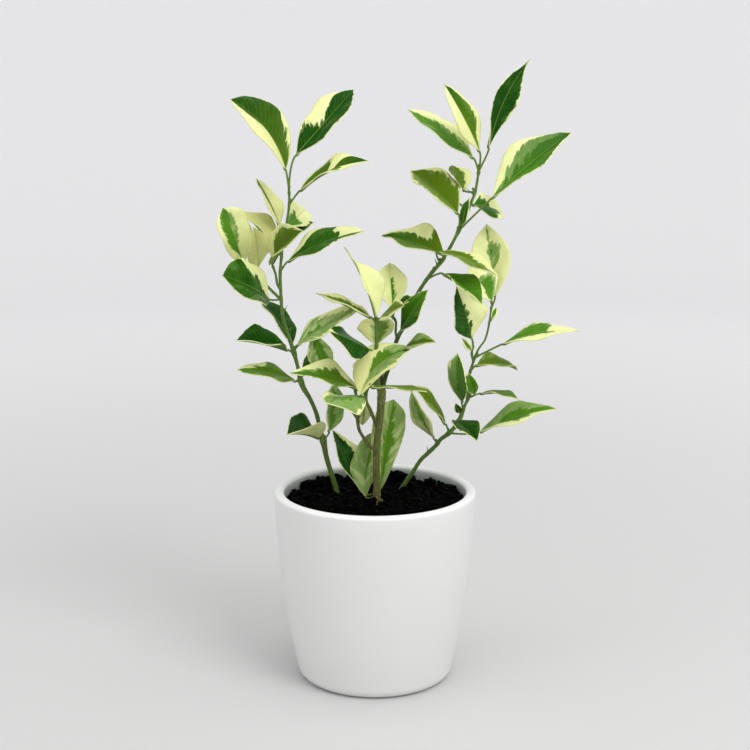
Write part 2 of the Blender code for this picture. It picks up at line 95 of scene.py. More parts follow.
# Each twig's points from its root to its end: across, up, behind, radius
TWIGS = {
    "left_stem": [
        (-16, 96, 17, 1.8), (-23, 117, 16, 1.8), (-27, 130, 15, 1.67), (-31, 144, 14, 1.67),
        (-33, 155, 13, 2.05), (-35, 162, 13, 1.44), (-37, 172, 12, 1.44), (-41, 182, 11, 1.36),
        (-46, 191, 10, 1.81), (-49, 204, 9, 1.14), (-51, 212, 8, 1.34), (-55, 225, 6, 1.07),
        (-58, 236, 5, 1.01), (-59, 255, 4, 1.01), (-59, 264, 3, 0.94), (-58, 274, 2, 0.87),
        (-57, 283, 1, 0.81), (-55, 292, 0, 0.81), (-53, 305, -1, 0.81), (-53, 314, -2, 0.73)],
    "left_fork": [
        (-59, 252, 4, 0.88), (-61, 256, 2, 0.88), (-62, 262, 0, 0.79), (-64, 268, -1, 0.79)],
    "left_back": [
        (-59, 246, 4, 0.97), (-67, 254, 8, 0.88), (-73, 261, 10, 0.79), (-80, 267, 10, 0.7)],
    "trunk": [
        (1, 88, 0, 2.16), (1, 112, 0, 2.7), (1, 118, 0, 2.34), (1, 129, 0, 2.25), (1, 149, 0, 2.25),
        (3, 169, 0, 2.25), (4, 182, 0, 2.52), (5, 189, 0, 2.34)],
    "main_branch": [
        (4, 185, 0, 1.51), (6, 194, 1, 1.36), (9, 204, 2, 1.36), (14, 221, 3, 1.29), (19, 230, 4, 1.21),
        (24, 244, 4, 1.21), (28, 252, 4, 1.21), (34, 261, 4, 1.14), (39, 267, 4, 1.14),
        (44, 274, 3, 1.06), (50, 285, 2, 0.98), (54, 294, 2, 0.98), (60, 308, 1, 0.91),
        (62, 314, 1, 0.83), (64, 327, 0, 0.76)],
    "green_twig": [
        (3, 183, 0, 1.41), (2, 194, -2, 1.23), (1, 204, -3, 1.14), (1, 216, -3, 1.14), (1, 232, -3, 1.06)],
    "low_twig": [
        (1, 148, 0, 1.23), (-3, 151, -1, 1.14), (-6, 155, -2, 1.06), (-10, 162, -3, 1.06),
        (-11, 169, -4, 1.23), (-11, 180, -5, 0.97), (-13, 189, -6, 0.88)],
    "low_stub": [(-11, 169, -4, 0.97), (-15, 175, -4, 0.88), (-18, 179, -4, 0.79)],
    "near_twig": [
        (1, 165, 0, 1.23), (-3, 175, -9, 1.14), (-6, 182, -17, 1.06), (-5, 188, -21, 0.97),
        (-4, 191, -23, 0.97)],
    "third_twig": [(4, 184, 0, 1.14), (4, 198, 3, 1.06), (7, 207, 4, 0.97), (14, 212, 4, 0.88)],
    "thin_twig": [(14, 220, 3, 0.79), (13, 225, 6, 0.79), (13, 232, 8, 0.79), (10, 236, 9, 0.7)],
    "right_stem": [
        (5, 104, 25, 1.5), (15, 120, 24, 1.5), (20, 128, 22, 1.45), (24, 134, 21, 1.4),
        (29, 142, 20, 1.33), (34, 147, 19, 1.48), (39, 152, 18, 1.33), (42, 156, 17, 1.33),
        (46, 159, 16, 1.4), (50, 163, 15, 1.4), (53, 167, 14, 1.56), (55, 172, 13, 1.26),
        (57, 178, 12, 0.93), (59, 183, 12, 1.04), (59, 191, 11, 0.82), (60, 199, 10, 0.88),
        (62, 206, 10, 0.82), (65, 214, 9, 0.66), (69, 220, 9, 0.6), (71, 227, 8, 0.66),
        (72, 234, 8, 0.55), (73, 242, 7, 0.55)],
    "right_fork": [(62, 206, 10, 0.8), (61, 212, 9, 0.8), (62, 217, 8, 0.72)],
}

# How far each twig has turned to brown bark, at its root and at its end
BARK = {
    "left_stem": (0.42, 0.0), "left_fork": (0.1, 0.0), "left_back": (0.15, 0.0),
    "trunk": (0.95, 0.6), "main_branch": (0.7, 0.0), "green_twig": (0.45, 0.0), "low_twig": (0.95, 0.4),
    "low_stub": (0.6, 0.3), "near_twig": (0.8, 0.2), "third_twig": (0.5, 0.2), "thin_twig": (0.3, 0.1),
    "right_stem": (0.3, 0.0), "right_fork": (0.05, 0.0),
}

# How much darker a twig is painted, at its root and at its end, where less than 0 is as light as the rest.
# It is partly the twig's own darker skin and partly painted shade from the leaves above it
DARK_SKIN_AND_SHADE = {
    "main_branch": (1.0, -0.5), "third_twig": (0.8, 0.5), "thin_twig": (0.5, 0.3), "left_stem": (0.1, 0.0)}

# Twigs with no leaf, from a twig at a height: how far their end lies across, up and behind, and their radius
SHORT_SHOOTS = [
    ("left_stem", 190, (-4, 6, -3), 0.8), ("left_stem", 225, (4, 5, -2), 0.6),
    ("left_stem", 236, (3, 6, 2), 0.6), ("low_twig", 169, (3, 4, -2), 0.6),
    ("right_stem", 147, (-1, 5, -2), 0.6), ("right_stem", 172, (-4, 5, -3), 0.7),
    ("right_stem", 191, (3, 5, -2), 0.6), ("main_branch", 244, (3, 5, -2), 0.6),
    ("main_branch", 267, (-2, 5, -2), 0.6), ("trunk", 152, (4, 4, -2), 0.6),
    ("main_branch", 311, (-6, 5, -1), 0.45),
]

# Thin roots at the trunk's foot: their angle in degrees, their reach and how far they run down
ROOTS = [(-78, 8.5, 1.6), (-55, 10, 2.2), (-100, 7, 1.4), (-30, 8, 2.0), (-140, 7, 1.8)]

# A leaf's colours at its base and its tip: how light its green is, how warm, and how dull its cream
TONES = {
    "deep": (0.0, 0.0, 0.0), "moss": (0.15, 0.7, 0.3), "wan": (1.0, 0.45, 0.3), "green": (0.24, 0.0, 0.0),
    "fresh": (0.8, 0.1, 0.0), "olive": (0.5, 1.0, 0.35), "khaki": (0.9, 1.0, 0.6), "mint": (1.0, 0.15, 0.0),
}

# The pattern of the leaves that grow away at the back
BACK_PATTERN = "886666655 776665544"


class Leaf(NamedTuple):
    """One leaf: the twig and height its stalk grows at, its blade's two ends, its form and its pattern.

    turn is how far the upper side faces right of the eye, fold how far each half rises from the rib,
    and twist the change of turn from base to tip, all in degrees. arch and sway are the rib's bulge
    towards the upper side and to the leaf's right, in parts of its length. The outline is widest at
    the part widest of the length, and a higher point makes its ends slimmer. A higher tip_form makes
    the tip blunter, and drawn is the part of the length that is drawn out to a fine point.
    green and deep give, from base to tip in ninths of the half width, how far the green and the
    darkest green reach from the rib, on the left half and then the right. tone names the colours.
    """
    twig: str
    height: float
    base: tuple
    tip: tuple
    width: float
    turn: float
    green: str
    tone: str = "green"
    fold: float = 15
    arch: float = 0.04
    sway: float = 0.0
    twist: float = 0.0
    widest: float = 0.45
    point: float = 1.4
    deep: str = ""
    tip_form: float = 3.2
    drawn: float = 0.0


LEFT_LEAVES = [
    # The pair at the top
    Leaf("left_stem", 314, (-55, 327, -3), (-88, 369, 12), 28, -42, "000012466 778999999", "moss deep",
         24, 0.05, 0.09, widest=0.52, point=1.0, tip_form=6),
    Leaf("left_stem", 313, (-48, 336, -1), (-13, 375, 14), 26, 41, "885117999 9", "deep", 21, 0.03, 0.03,
         widest=0.5, point=1.1, tip_form=4, drawn=0.03),
    # Below the top pair
    Leaf("left_stem", 305, (-46, 314, -2), (-4, 332, -14), 20, 64, "677709999 777770999", "olive deep",
         21, 0.09, widest=0.7, point=1.2, drawn=0.04),
    Leaf("left_stem", 284, (-59, 292, 6), (-73, 321, 26), 17, -56, "055999999 0", "moss", 19, 0.04,
         drawn=0.04),
    Leaf("left_stem", 287, (-54, 292, 6), (-43, 302, 34), 20, 0, "665300000 664200000", "fresh", 20),
    Leaf("left_stem", 279, (-55, 283, 8), (-38, 294, 22), 13, 45, "9 9", "deep", 25, 0.10),
    Leaf("left_stem", 263, (-54, 270, 3), (-7, 289, 0), 26, 60, "558963000 999999900", "green", 16, 0.06,
         drawn=0.04),
    Leaf("left_stem", 273, (-63, 279, 2), (-83, 301, 20), 24, -60, "778530000 0", "khaki", 30, 0.04),
    # On the front fork
    Leaf("left_fork", 267, (-64, 269, -3), (-45, 289, -38), 28, 56, "025677543 9", "olive", 34, point=1.1),
    # On the back twig
    Leaf("left_back", 261, (-73, 266, 9), (-75, 291, -12), 18, -35, "0 310000000", "khaki", 12),
    Leaf("left_back", 267, (-82, 268, 9), (-94, 303, -6), 24, -28, "026777776 000233333", "fresh", 20,
         widest=0.66, point=0.9, deep="026777776 000000123", tip_form=9),
    Leaf("left_back", 261, (-74, 264, 12), (-78, 274, 26), 5, 0, "9 9", "deep", 10),
    # Half way up
    Leaf("left_stem", 246, (-66, 246, 0), (-95, 261, -34), 31, -43, "9 135689999", "deep green", 22,
         0.05, widest=0.52, point=0.9, deep="003699999 000389999", tip_form=9),
    Leaf("left_stem", 212, (-52, 217, 10), (-72, 247, 38), 24, -60, "8 9", "deep", 20, 0.03),
    Leaf("left_stem", 211, (-55, 214, 6), (-87, 220, -20), 26, -62, "9 9", "deep", 33, 0.03),
    Leaf("left_stem", 213, (-49, 217, 5), (-8, 242, 12), 22, 52, "777654321 888876520", "mint", 12, 0.04,
         widest=0.34, point=1.2, deep="011100000 0", drawn=0.05),
    Leaf("left_stem", 213, (-39, 224, 7), (-29, 198, 10), 17, -10, "9 8", "mint", 15, 0.05, deep="5 3"),
    Leaf("left_stem", 199, (-46, 201, 12), (-30, 209, 30), 15, 30, "9 9", "green", 20),
    Leaf("left_stem", 193, (-50, 194, 8), (-87, 201, -12), 21, -62, "9 998654443", "olive fresh", 8, 0.05),
    # Low down
    Leaf("left_stem", 156, (-36, 157, 12), (-56, 159, -22), 30, -73, "0 9", "deep", 47),
    Leaf("left_stem", 155, (-29, 161, 14), (-26, 193, 28), 20, -48, "8 9", "fresh", 15, widest=0.55,
         deep="4 333222111"),
    # Growing away at the back
    Leaf("left_stem", 280, (-61, 277, 10), (-68, 286, 50), 20, 23, BACK_PATTERN, "fresh"),
    Leaf("left_stem", 195, (-45, 198, 17), (-34, 207, 61), 20, 1, BACK_PATTERN),
]

CENTRE_LEAVES = [
    # Round the trunk's head
    Leaf("near_twig", 185, (-7, 184, -20), (-31, 180, -50), 29, -58, "888888866 888888877", "fresh", -14,
         0.03, widest=0.68, point=0.9, deep="111111111 555443200"),
    Leaf("low_twig", 187, (-11, 189, -8), (-54, 199, -26), 27, -53, "9 256544455", "olive fresh", 30,
         0.04, widest=0.34, point=1.6),
    Leaf("near_twig", 190, (-2, 190, -24), (33, 187, -44), 16, 80, "999999977 9", "olive", 3, 0.03,
         widest=0.35),
    Leaf("near_twig", 184, (-9, 185, -25), (23, 215, -6), 29, 46, "001356888 078888877", "khaki fresh",
         16, 0.04, -0.16, widest=0.42, point=1.0, deep="001354310 0", tip_form=4),
    Leaf("third_twig", 212, (17, 213, 3), (38, 219, -16), 15, 62, "9 9", "khaki", 20, 0.08, deep="4 4"),
    Leaf("near_twig", 182, (-6, 180, -4), (-8, 165, 12), 9, 30, "0 5", "fresh", 10, deep="0 0"),
    # On the green and thin twigs
    Leaf("green_twig", 231, (-3, 235, -3), (-37, 250, 10), 20, -74, "5 344443322", "olive", 12, 0.02),
    Leaf("green_twig", 212, (1, 217, 2), (0, 234, 34), 25, 0, "332222210 888888877", "khaki", 15,
         deep="0 566666654"),
    Leaf("green_twig", 212, (-3, 214, -5), (-29, 226, -34), 26, -60, "999999850 999997200", "deep", -12,
         0.02),
    Leaf("green_twig", 231, (1, 235, -4), (-19, 279, 4), 26, -58, "0 0", "green", 32, 0.03, 0.04,
         widest=0.42, point=1.9, drawn=0.2),
    Leaf("thin_twig", 235, (11, 240, 9), (9, 269, 28), 25, 0, "0 023321000", "fresh", 30, widest=0.4,
         drawn=0.05),
    Leaf("green_twig", 231, (3, 234, -5), (18, 242, -34), 16, 65, "7 7", "olive", 5, 0.03),
    Leaf("thin_twig", 234, (12, 241, 8), (26, 246, -10), 10, 60, "8 8", "deep", 15, 0.06),
    Leaf("main_branch", 222, (16, 226, -2), (33, 252, -18), 16, 40, "999999988 9", "deep fresh", 12, 0.02),
    # The three large leaves at the trunk's foot
    Leaf("trunk", 119, (-6, 118, 5), (2, 161, 16), 20, 20, "999999999 999999988", "wan", 20, 0.03, -0.08,
         point=1.1, deep="0 001221100", tip_form=6),
    Leaf("trunk", 119, (3, 122, 6), (12, 182, 20), 22, -12, "999999999 999999999", "wan", 15, 0.04,
         -0.03, widest=0.70, point=1.15, deep="001121000 134543222", tip_form=9),
    Leaf("trunk", 120, (-9, 122, 10), (-27, 162, 26), 22, -45, "9 444555443", "deep", 15, 0.05),
    # The four at the main branch's end
    Leaf("main_branch", 326, (70, 340, 0), (94, 393, -4), 16.5, -25, "9 8", "deep", 20, 0.02, -0.08, 70,
         widest=0.62, point=1.7, drawn=0.09),
    Leaf("main_branch", 326, (64, 338, -4), (42, 378, -12), 21, -45, "0 336888886", "olive green", 12,
         0.03, drawn=0.04),
    Leaf("main_branch", 325, (60, 334, -2), (20, 363, 10), 22, -54, "9 644443322", "fresh", 12, 0.03,
         0.02, deep="9 322222222", drawn=0.05),
    Leaf("main_branch", 289, (73, 310, 2), (120, 349, 16), 32, 45, "346789999 9", "fresh green", 30,
         0.03, point=1.2, deep="213244679 9", drawn=0.04),
    # Along the main branch
    Leaf("main_branch", 288, (51, 300, -4), (22, 326, 24), 31, -47, "888877752 887777752", "olive", 27,
         0.03, point=1.2, deep="2 778888763"),
    Leaf("main_branch", 313, (55, 314, 6), (48, 329, 28), 16, -40, "9 233344455", "olive", 20, point=1.0),
    Leaf("main_branch", 305, (61, 305, 6), (79, 300, 34), 22, 50, "764310000 997653000", "green", 10),
    Leaf("main_branch", 290, (54, 292, -2), (58, 309, -8), 7, 35, "9 9", "green", 15),
    Leaf("main_branch", 263, (43, 274, -1), (4, 286, 34), 31, -52, "9 954455667", "olive green", 29,
         0.03, widest=0.32),
    Leaf("main_branch", 269, (40, 276, -8), (76, 261, -26), 20, 66, "765432100 999998765", "olive", 8,
         0.07),
    Leaf("main_branch", 258, (43, 262, -5), (67, 243, -28), 21, 56, "9 9", "fresh", 31),
    # Growing away at the back
    Leaf("main_branch", 301, (51, 307, 12), (47, 314, 53), 20, 13, BACK_PATTERN),
    Leaf("trunk", 183, (3, 190, 5), (0, 199, 41), 20, 9, BACK_PATTERN, "fresh"),
    Leaf("green_twig", 202, (0, 201, 4), (-9, 207, 41), 20, -31, BACK_PATTERN),
]

RIGHT_LEAVES = [
    # The top three and the two new shoots below them
    Leaf("right_stem", 241, (75, 248, 13), (69, 293, 30), 29, 0, "000011111 000453110", "fresh", 28,
         0.03, deep="0 000011110"),
    Leaf("right_stem", 241, (73, 245, 4), (58, 266, 8), 24, -40, "542000000 777641000", "fresh", 18,
         0.05, point=1.1, deep="542000000 367520000"),
    Leaf("right_fork", 216, (61, 221, 6), (51, 254, -6), 28, -34, "999999951 011111100", "deep", 18, 0.03),
    Leaf("right_fork", 211, (61, 213, 8), (55, 221, 2), 5, 0, "4 4", "fresh"),
    Leaf("right_stem", 231, (73, 233, 9), (76, 241, 14), 5, 0, "4 4", "fresh"),
    # Half way up
    Leaf("right_stem", 209, (81, 218, 8), (128, 226, 0), 22, 64, "888860000 555544000", "fresh", 8, 0.07,
         drawn=0.06),
    Leaf("right_stem", 200, (64, 204, 10), (90, 201, 32), 19, 66, "9 9", "khaki", 21, 0.08, drawn=0.04),
    Leaf("right_stem", 175, (55, 180, 8), (52, 212, -14), 18, 45, "888877530 9", "green fresh", 12, 0.02,
         widest=0.6, deep="222222210 9"),
    Leaf("right_stem", 183, (63, 185, 8), (59, 199, -4), 8.5, 0, "9 9", "fresh", 20, point=1.0),
    Leaf("right_stem", 183, (67, 186, 12), (91, 182, -6), 13, 74, "9 9", "green", 8, 0.08, deep="0 0"),
    Leaf("right_stem", 171, (54, 173, 10), (51, 179, 4), 5, 0, "9 9", "deep", 15, point=1.0),
    # Low down
    Leaf("right_stem", 167, (50, 168, 8), (65, 155, -18), 19, 50, "9 9", "deep", 25, point=1.0,
         deep="000666666 000000333"),
    Leaf("right_stem", 160, (67, 161, 12), (115, 176, 0), 25, 60, "999999998 226663000", "fresh", 16,
         0.05, widest=0.5, drawn=0.04, deep="001534798 226663000"),
    Leaf("right_stem", 153, (37, 157, 14), (23, 187, -6), 15, 48, "777777766 667788888", "wan", 12,
         deep="111111100 222333333"),
    Leaf("right_stem", 160, (45, 166, 12), (23, 191, -8), 17, -66, "9 998887776", "khaki", 15),
    # Growing away at the back
    Leaf("right_stem", 191, (59, 197, 22), (53, 188, 56), 20, -10, BACK_PATTERN),
]

# The twigs and leaves of each stem, under the name that its pieces and its CAD solid end in
STEMS = {
    "left": (("left_stem", "left_fork", "left_back"), LEFT_LEAVES),
    "centre": (
        ("trunk", "main_branch", "green_twig", "low_twig", "low_stub", "near_twig", "third_twig",
         "thin_twig"), CENTRE_LEAVES),
    "right": (("right_stem", "right_fork"), RIGHT_LEAVES),
}


# Sizes and colours

def length(name, about, default):
    return FloatProperty(name=name, description=about, default=default, min=0.0, unit="LENGTH")


def power(name, about, default):
    return FloatProperty(name=name, description=about, default=default, min=0.0, unit="POWER")


def factor(name, about, default):
    return FloatProperty(name=name, description=about, default=default, min=0, max=1, subtype="FACTOR")


def count(name, about, default, lowest=0):
    return IntProperty(name=name, description=about, default=default, min=lowest)


def colour(name, about, default):
    return FloatVectorProperty(
        name=name, description=about, default=default, size=3, min=0, max=1, subtype="COLOR")


class PotSettings(bpy.types.PropertyGroup):
    height: length("Height", "Height of the pot", 0.1234)
    wall: length("Wall", "Thickness of the pot's wall", 0.0066)
    lip: length("Lip", "Rounding of the rim's two edges", 0.0027)
    floor: length("Floor", "Thickness of the pot's floor", 0.006)
    foot: length("Foot rounding", "Radius where the wall meets the underside", 0.007)
    sides: count("Sides", "Faces round the pot", 128, 24)
    glaze: colour("Glaze", "Colour of the white glaze", (0.80, 0.80, 0.79))
    # The rim colour is a painted highlight on the top of the lip
    rim_highlight: colour("Brim", "Colour of the glaze on the rim", (0.95, 0.95, 0.95))
    # The inside colour is painted shade on the inner wall above the soil, not damp
    inside: colour("Inside", "Colour of the damp inner wall", (0.46, 0.50, 0.49))
    roughness: factor("Roughness", "How matt the glaze is", 0.34)


class SoilSettings(bpy.types.PropertyGroup):
    level: length("Level", "Height of the soil above the underside", 0.114)
    gap: length("Gap", "Room between the soil and the pot", 0.0003)
    back_rise: length("Back rise", "How far the soil stands higher at the back edge", 0.0006)
    crumbs: count("Crumbs", "Loose crumbs on the soil", 2400)
    crumb_size: length("Crumb size", "Radius of a middling crumb", 0.0014)
    dark: colour("Soil", "Colour of the moist soil", (0.0014, 0.0012, 0.0010))
    light: colour("Fibres", "Colour of its dry bits", (0.040, 0.034, 0.026))


class TwigSettings(bpy.types.PropertyGroup):
    sides: IntProperty(name="Roundness", description="Extra edges round a twig", default=4, min=0, max=8)
    young: colour("Young stem", "Colour of a green stem", (0.105, 0.190, 0.030))
    bark: colour("Bark", "Colour of the trunk's bark", (0.125, 0.125, 0.034))
    # Dark skin is partly painted shade: it darkens the twigs that the leaves above shade
    dark: colour("Dark skin", "Colour of a twig's darkest skin", (0.012, 0.032, 0.008))
    pores: colour("Pores", "Colour of the pale specks in the bark", (0.50, 0.42, 0.24))
    stalk: colour("Leaf stalk", "Colour of a leaf's stalk and rib", (0.15, 0.26, 0.035))


class LeafSettings(bpy.types.PropertyGroup):
    thickness: length("Thickness", "Thickness of a leaf's blade", 0.00055)
    along: count("Cells along", "Cells from a leaf's base to its tip", 36, 8)
    across: count("Cells across", "Cells from edge to edge, an even number", 18, 4)
    wave: factor("Wave", "How wavy a leaf's edges are, in parts of its width", 0.058)
    cream: colour("Cream", "Colour of the pale zones", (0.88, 0.92, 0.44))
    dull: colour("Dull cream", "Colour of the pale zones on older leaves", (0.56, 0.56, 0.17))
    deep: colour("Deep green", "Darkest green", (0.006, 0.064, 0.0006))
    fresh: colour("Fresh green", "Lightest green", (0.095, 0.290, 0.016))
    olive: colour("Olive", "Warm green", (0.108, 0.185, 0.002))
    grey: colour("Grey green", "Green that is thinly spread over cream", (0.27, 0.41, 0.125))
    blotch: colour("Blotches", "Colour of the blotches on pale green leaves", (0.52, 0.62, 0.25))
    vein: colour("Side veins", "Colour that tints the side veins", (0.36, 0.50, 0.10))
    rib: colour("Rib", "Colour that tints the rib", (0.30, 0.46, 0.08))
    under: colour("Underside", "Colour that pales the underside", (0.36, 0.46, 0.10))


class StudioSettings(bpy.types.PropertyGroup):
    floor: colour("Floor", "Colour of the floor", (0.65, 0.65, 0.645))
    backdrop: colour("Backdrop", "Colour of the backdrop round the floor", (0.93, 0.93, 0.94))
    radius: length("Radius", "Radius of the flat floor", 1.7)
    rise: length("Rise", "Radius of the curve from the floor up to the backdrop", 0.6)
    lens: FloatProperty(name="Lens", description="Focal length", default=71.0, min=10, unit="CAMERA")
    key: power("Key light", "Power of the light from the front right", 11)
    fill: power("Fill light", "Power of the light from the left", 0.9)
    top: power("Top light", "Power of the light from above", 5)
    sky: FloatProperty(name="Sky", description="Strength of the light from all round", default=0.69, min=0)


class CalamondinSettings(bpy.types.PropertyGroup):
    pot: PointerProperty(type=PotSettings)
    soil: PointerProperty(type=SoilSettings)
    twigs: PointerProperty(type=TwigSettings)
    leaves: PointerProperty(type=LeafSettings)
    studio: PointerProperty(type=StudioSettings)


# Modelling helpers

def deselect_all():
    if bpy.context.object and bpy.context.object.mode != "OBJECT":
        bpy.ops.object.mode_set(mode="OBJECT")
    bpy.ops.object.select_all(action="DESELECT")


def select_only(obj):
    deselect_all()
    obj.select_set(True)
    bpy.context.view_layer.objects.active = obj


def new_primitive(add, name, **options):
    deselect_all()
    add(**options)
    made = bpy.context.object
    made.name = name
    made.data.name = name
    return made


def join(name, pieces):
    deselect_all()
    for piece in pieces:
        piece.select_set(True)
    bpy.context.view_layer.objects.active = pieces[0]
    if len(pieces) > 1:
        bpy.ops.object.join()
    pieces[0].name = name
    pieces[0].data.name = name
    return pieces[0]


def settle(obj):
    """Puts the object's place in its mesh."""
    select_only(obj)
    bpy.ops.object.transform_apply(location=True, rotation=True, scale=True)


def new_object(name, data):
    made = bpy.data.objects.new(name, data)
    bpy.context.scene.collection.objects.link(made)
    return made


def remove(obj):
    bpy.data.objects.remove(obj, do_unlink=True)


def dressed(obj, *finishes):
    """Gives the object its materials, in the order of their slots."""
    obj.data.materials.clear()
    for finish in finishes:
        obj.data.materials.append(bpy.data.materials[finish])
    return obj


def enter_edit():
    """Goes to edit mode with everything selected."""
    bpy.ops.object.mode_set(mode="EDIT")
    bpy.ops.mesh.select_all(action="SELECT")


def leave_edit():
    """Turns all the faces outwards and goes back to object mode."""
    bpy.ops.mesh.select_all(action="SELECT")
    bpy.ops.mesh.normals_make_consistent(inside=False)
    bpy.ops.object.mode_set(mode="OBJECT")


def ring_extruded(profile, at):
    """Carries the selected ring or end face on through a profile of (radius, height) points, in metres."""
    radius, height = at
    for next_radius, next_height in profile:
        bpy.ops.mesh.extrude_region_move(TRANSFORM_OT_translate={"value": (0, 0, next_height - height)})
        scale = next_radius / radius
        bpy.ops.transform.resize(value=(scale, scale, 1), center_override=(0, 0, next_height))
        radius, height = next_radius, next_height


def turned_shell(name, profile, sides):
    """A closed body turned round Z by extruding and scaling one circle, with flat ends."""
    radius, height = profile[0]
    shell = new_primitive(bpy.ops.mesh.primitive_circle_add, name, vertices=sides, radius=radius,
                          location=(0, 0, height))
    settle(shell)
    enter_edit()
    bpy.ops.mesh.edge_face_add()
    bpy.ops.mesh.select_all(action="SELECT")
    bpy.ops.mesh.select_mode(type="EDGE")
    ring_extruded(profile[1:], profile[0])
    leave_edit()
    return shell


def arc(centre, radius, start, end, steps):
    """Points of an arc in a profile, from one angle to another in degrees."""
    angles = [math.radians(start + (end - start) * i / steps) for i in range(steps + 1)]
    return [(centre[0] + radius * math.cos(a), centre[1] + radius * math.sin(a)) for a in angles]


# Points of the plant, in millimetres

def place(across, up, behind):
    seen = np.array((across, 0.0, up), dtype=float)
    return EYE + (seen - EYE) * (1 + behind / EYE_DISTANCE)


def unit(vectors):
    return vectors / np.linalg.norm(vectors, axis=-1, keepdims=True)


def twig_point(twig, height):
    across, up, behind, _ = np.array(TWIGS[twig], dtype=float).T
    return place(np.interp(height, up, across), height, np.interp(height, up, behind))


def smoothed(points, steps):
    """Rows on a smooth curve through the given rows."""
    ends = np.vstack([2 * points[0] - points[1], points, 2 * points[-1] - points[-2]])
    rows = []
    for a, b, c, d in zip(ends, ends[1:], ends[2:], ends[3:]):
        for u in np.arange(steps) / steps:
            rows.append(b + (c - a) * u / 2 + (2 * a - 5 * b + 4 * c - d) * u ** 2 / 2
                        + (3 * b - a - 3 * c + d) * u ** 3 / 2)
    return np.array(rows + [points[-1]])


def outline(along, widest, point):
    """The blade's half width at a part of its length, from 0 at its ends to 1 where it is widest."""
    along = np.clip(along, 0.0005, 0.9995)
    near = point * widest
    far = point * (1 - widest)
    return along ** near * (1 - along) ** far / (widest ** near * (1 - widest) ** far)


class Blade:
    """The curved surface of one leaf's blade."""

    def __init__(self, leaf, seed):
        self.leaf = leaf
        self.seed = seed
        self.base = place(*leaf.base)
        self.tip = place(*leaf.tip)
        run = self.tip - self.base
        self.length = np.linalg.norm(run)
        self.along = unit(run)
        middle = (self.base + self.tip) / 2
        view = EYE - middle
        self.to_eye = unit(view - np.dot(view, self.along) * self.along)
        upper, side = self.facing(np.array(0.5))
        self.bend = middle + 2 * self.length * (leaf.arch * upper + leaf.sway * side)

    def facing(self, t):
        angle = np.radians(self.leaf.turn + self.leaf.twist * (t - 0.5))[..., None]
        upper = np.cos(angle) * self.to_eye - np.sin(angle) * np.cross(self.along, self.to_eye)
        return upper, np.cross(self.along, upper)

    def rib(self, t):
        """The rib's points at t, with its directions, upper sides and right sides there."""
        part = np.asarray(t, dtype=float)[..., None]
        points = (1 - part) ** 2 * self.base + 2 * part * (1 - part) * self.bend + part ** 2 * self.tip
        ahead = unit((1 - part) * (self.bend - self.base) + part * (self.tip - self.bend))
        upper = self.facing(part[..., 0])[0]
        upper = unit(upper - (upper * ahead).sum(-1, keepdims=True) * ahead)
        return points, ahead, upper, np.cross(ahead, upper)

    def half_width(self, t):
        wobble = 1 + 0.012 * np.sin(19 * t + self.seed) + 0.008 * np.sin(43 * t + 2 * self.seed)
        body = t / (1 - self.leaf.drawn)
        form = outline(body, self.leaf.widest, self.leaf.point)
        tip = np.maximum(self.leaf.tip_form * (1 - body), 0.01)
        wedge = 0.03 + 3.0 * t
        form = (form ** -6 + tip ** -6 + wedge ** -6) ** (-1 / 6)
        if self.leaf.drawn:
            form = np.hypot(form, 0.24 * np.clip((1 - t) / (2 * self.leaf.drawn), 0, 1) * (t > 0.5))
        return np.maximum(self.leaf.width / 2 * wobble * form, 0.3 - 0.15 * t)

    def surface(self, t, s, wave):
        """Points at t along the blade and s across it, from -1 at its left edge to 1 at its right."""
        points, _, upper, side = self.rib(t)
        half = self.half_width(t)
        fold = math.radians(self.leaf.fold)
        soft = 0.12
        rise = (np.sqrt(s ** 2 + soft ** 2) - soft) / (math.sqrt(1 + soft ** 2) - soft)
        belly = 0.08 * np.sin(math.pi * np.abs(s)) * math.copysign(1, self.leaf.fold)
        lift = half * (math.sin(fold) * rise + belly)
        ripple = np.sin(2 * math.pi * (1.6 * t + 0.13 * self.seed) + 1.3 * np.sign(s))
        lift = lift + wave * self.leaf.width * s ** 2 * ripple * np.sin(math.pi * t)
        return points + (half * math.cos(fold) * s)[..., None] * side + lift[..., None] * upper


def stalk_line(blade):
    """Rows of x, y, z and radius from the twig's middle to the blade, and on under its rib to the tip."""
    root = twig_point(blade.leaf.twig, blade.leaf.height)
    base, heading, _, _ = blade.rib(0.0)
    bend = base - heading * np.linalg.norm(base - root) * 0.3
    slim = 0.55 + 0.45 * min(1.0, blade.leaf.width / 16)
    rows = []
    for step in np.linspace(0, 1, 9)[:-1]:
        point = (1 - step) ** 2 * root + 2 * step * (1 - step) * bend + step ** 2 * base
        rows.append((*point, slim * (0.58 + 0.25 * math.exp(-8 * step) + 0.1 * step ** 2)))
    for t in np.linspace(0.0, 0.96, 15):
        point, _, upper, _ = blade.rib(t)
        radius = slim * (0.12 + 0.73 * (1 - t) ** 1.3)
        rows.append((*(point - upper * (0.3 + 0.6 * radius)), radius))
    return np.array(rows)


# Meshes of the plant

def tubes(name, lines, roundness):
    """One mesh of round closed tubes through rows of x, y, z and radius in millimetres."""
    guide = new_primitive(bpy.ops.curve.primitive_nurbs_path_add, name)
    curve = guide.data
    curve.splines.clear()
    curve.dimensions = "3D"
    curve.bevel_depth = MM
    curve.bevel_resolution = roundness
    curve.use_fill_caps = True
    for rows in lines:
        spline = curve.splines.new("POLY")
        spline.points.add(len(rows) - 1)
        for point, (x, y, z, radius) in zip(spline.points, rows):
            point.co = (x * MM, y * MM, z * MM, 1.0)
            point.radius = radius
    select_only(guide)
    bpy.ops.object.convert(target="MESH")
    made = bpy.context.object
    enter_edit()
    bpy.ops.mesh.remove_doubles(threshold=0.000001)
    leave_edit()
    made.data.shade_smooth()
    return made


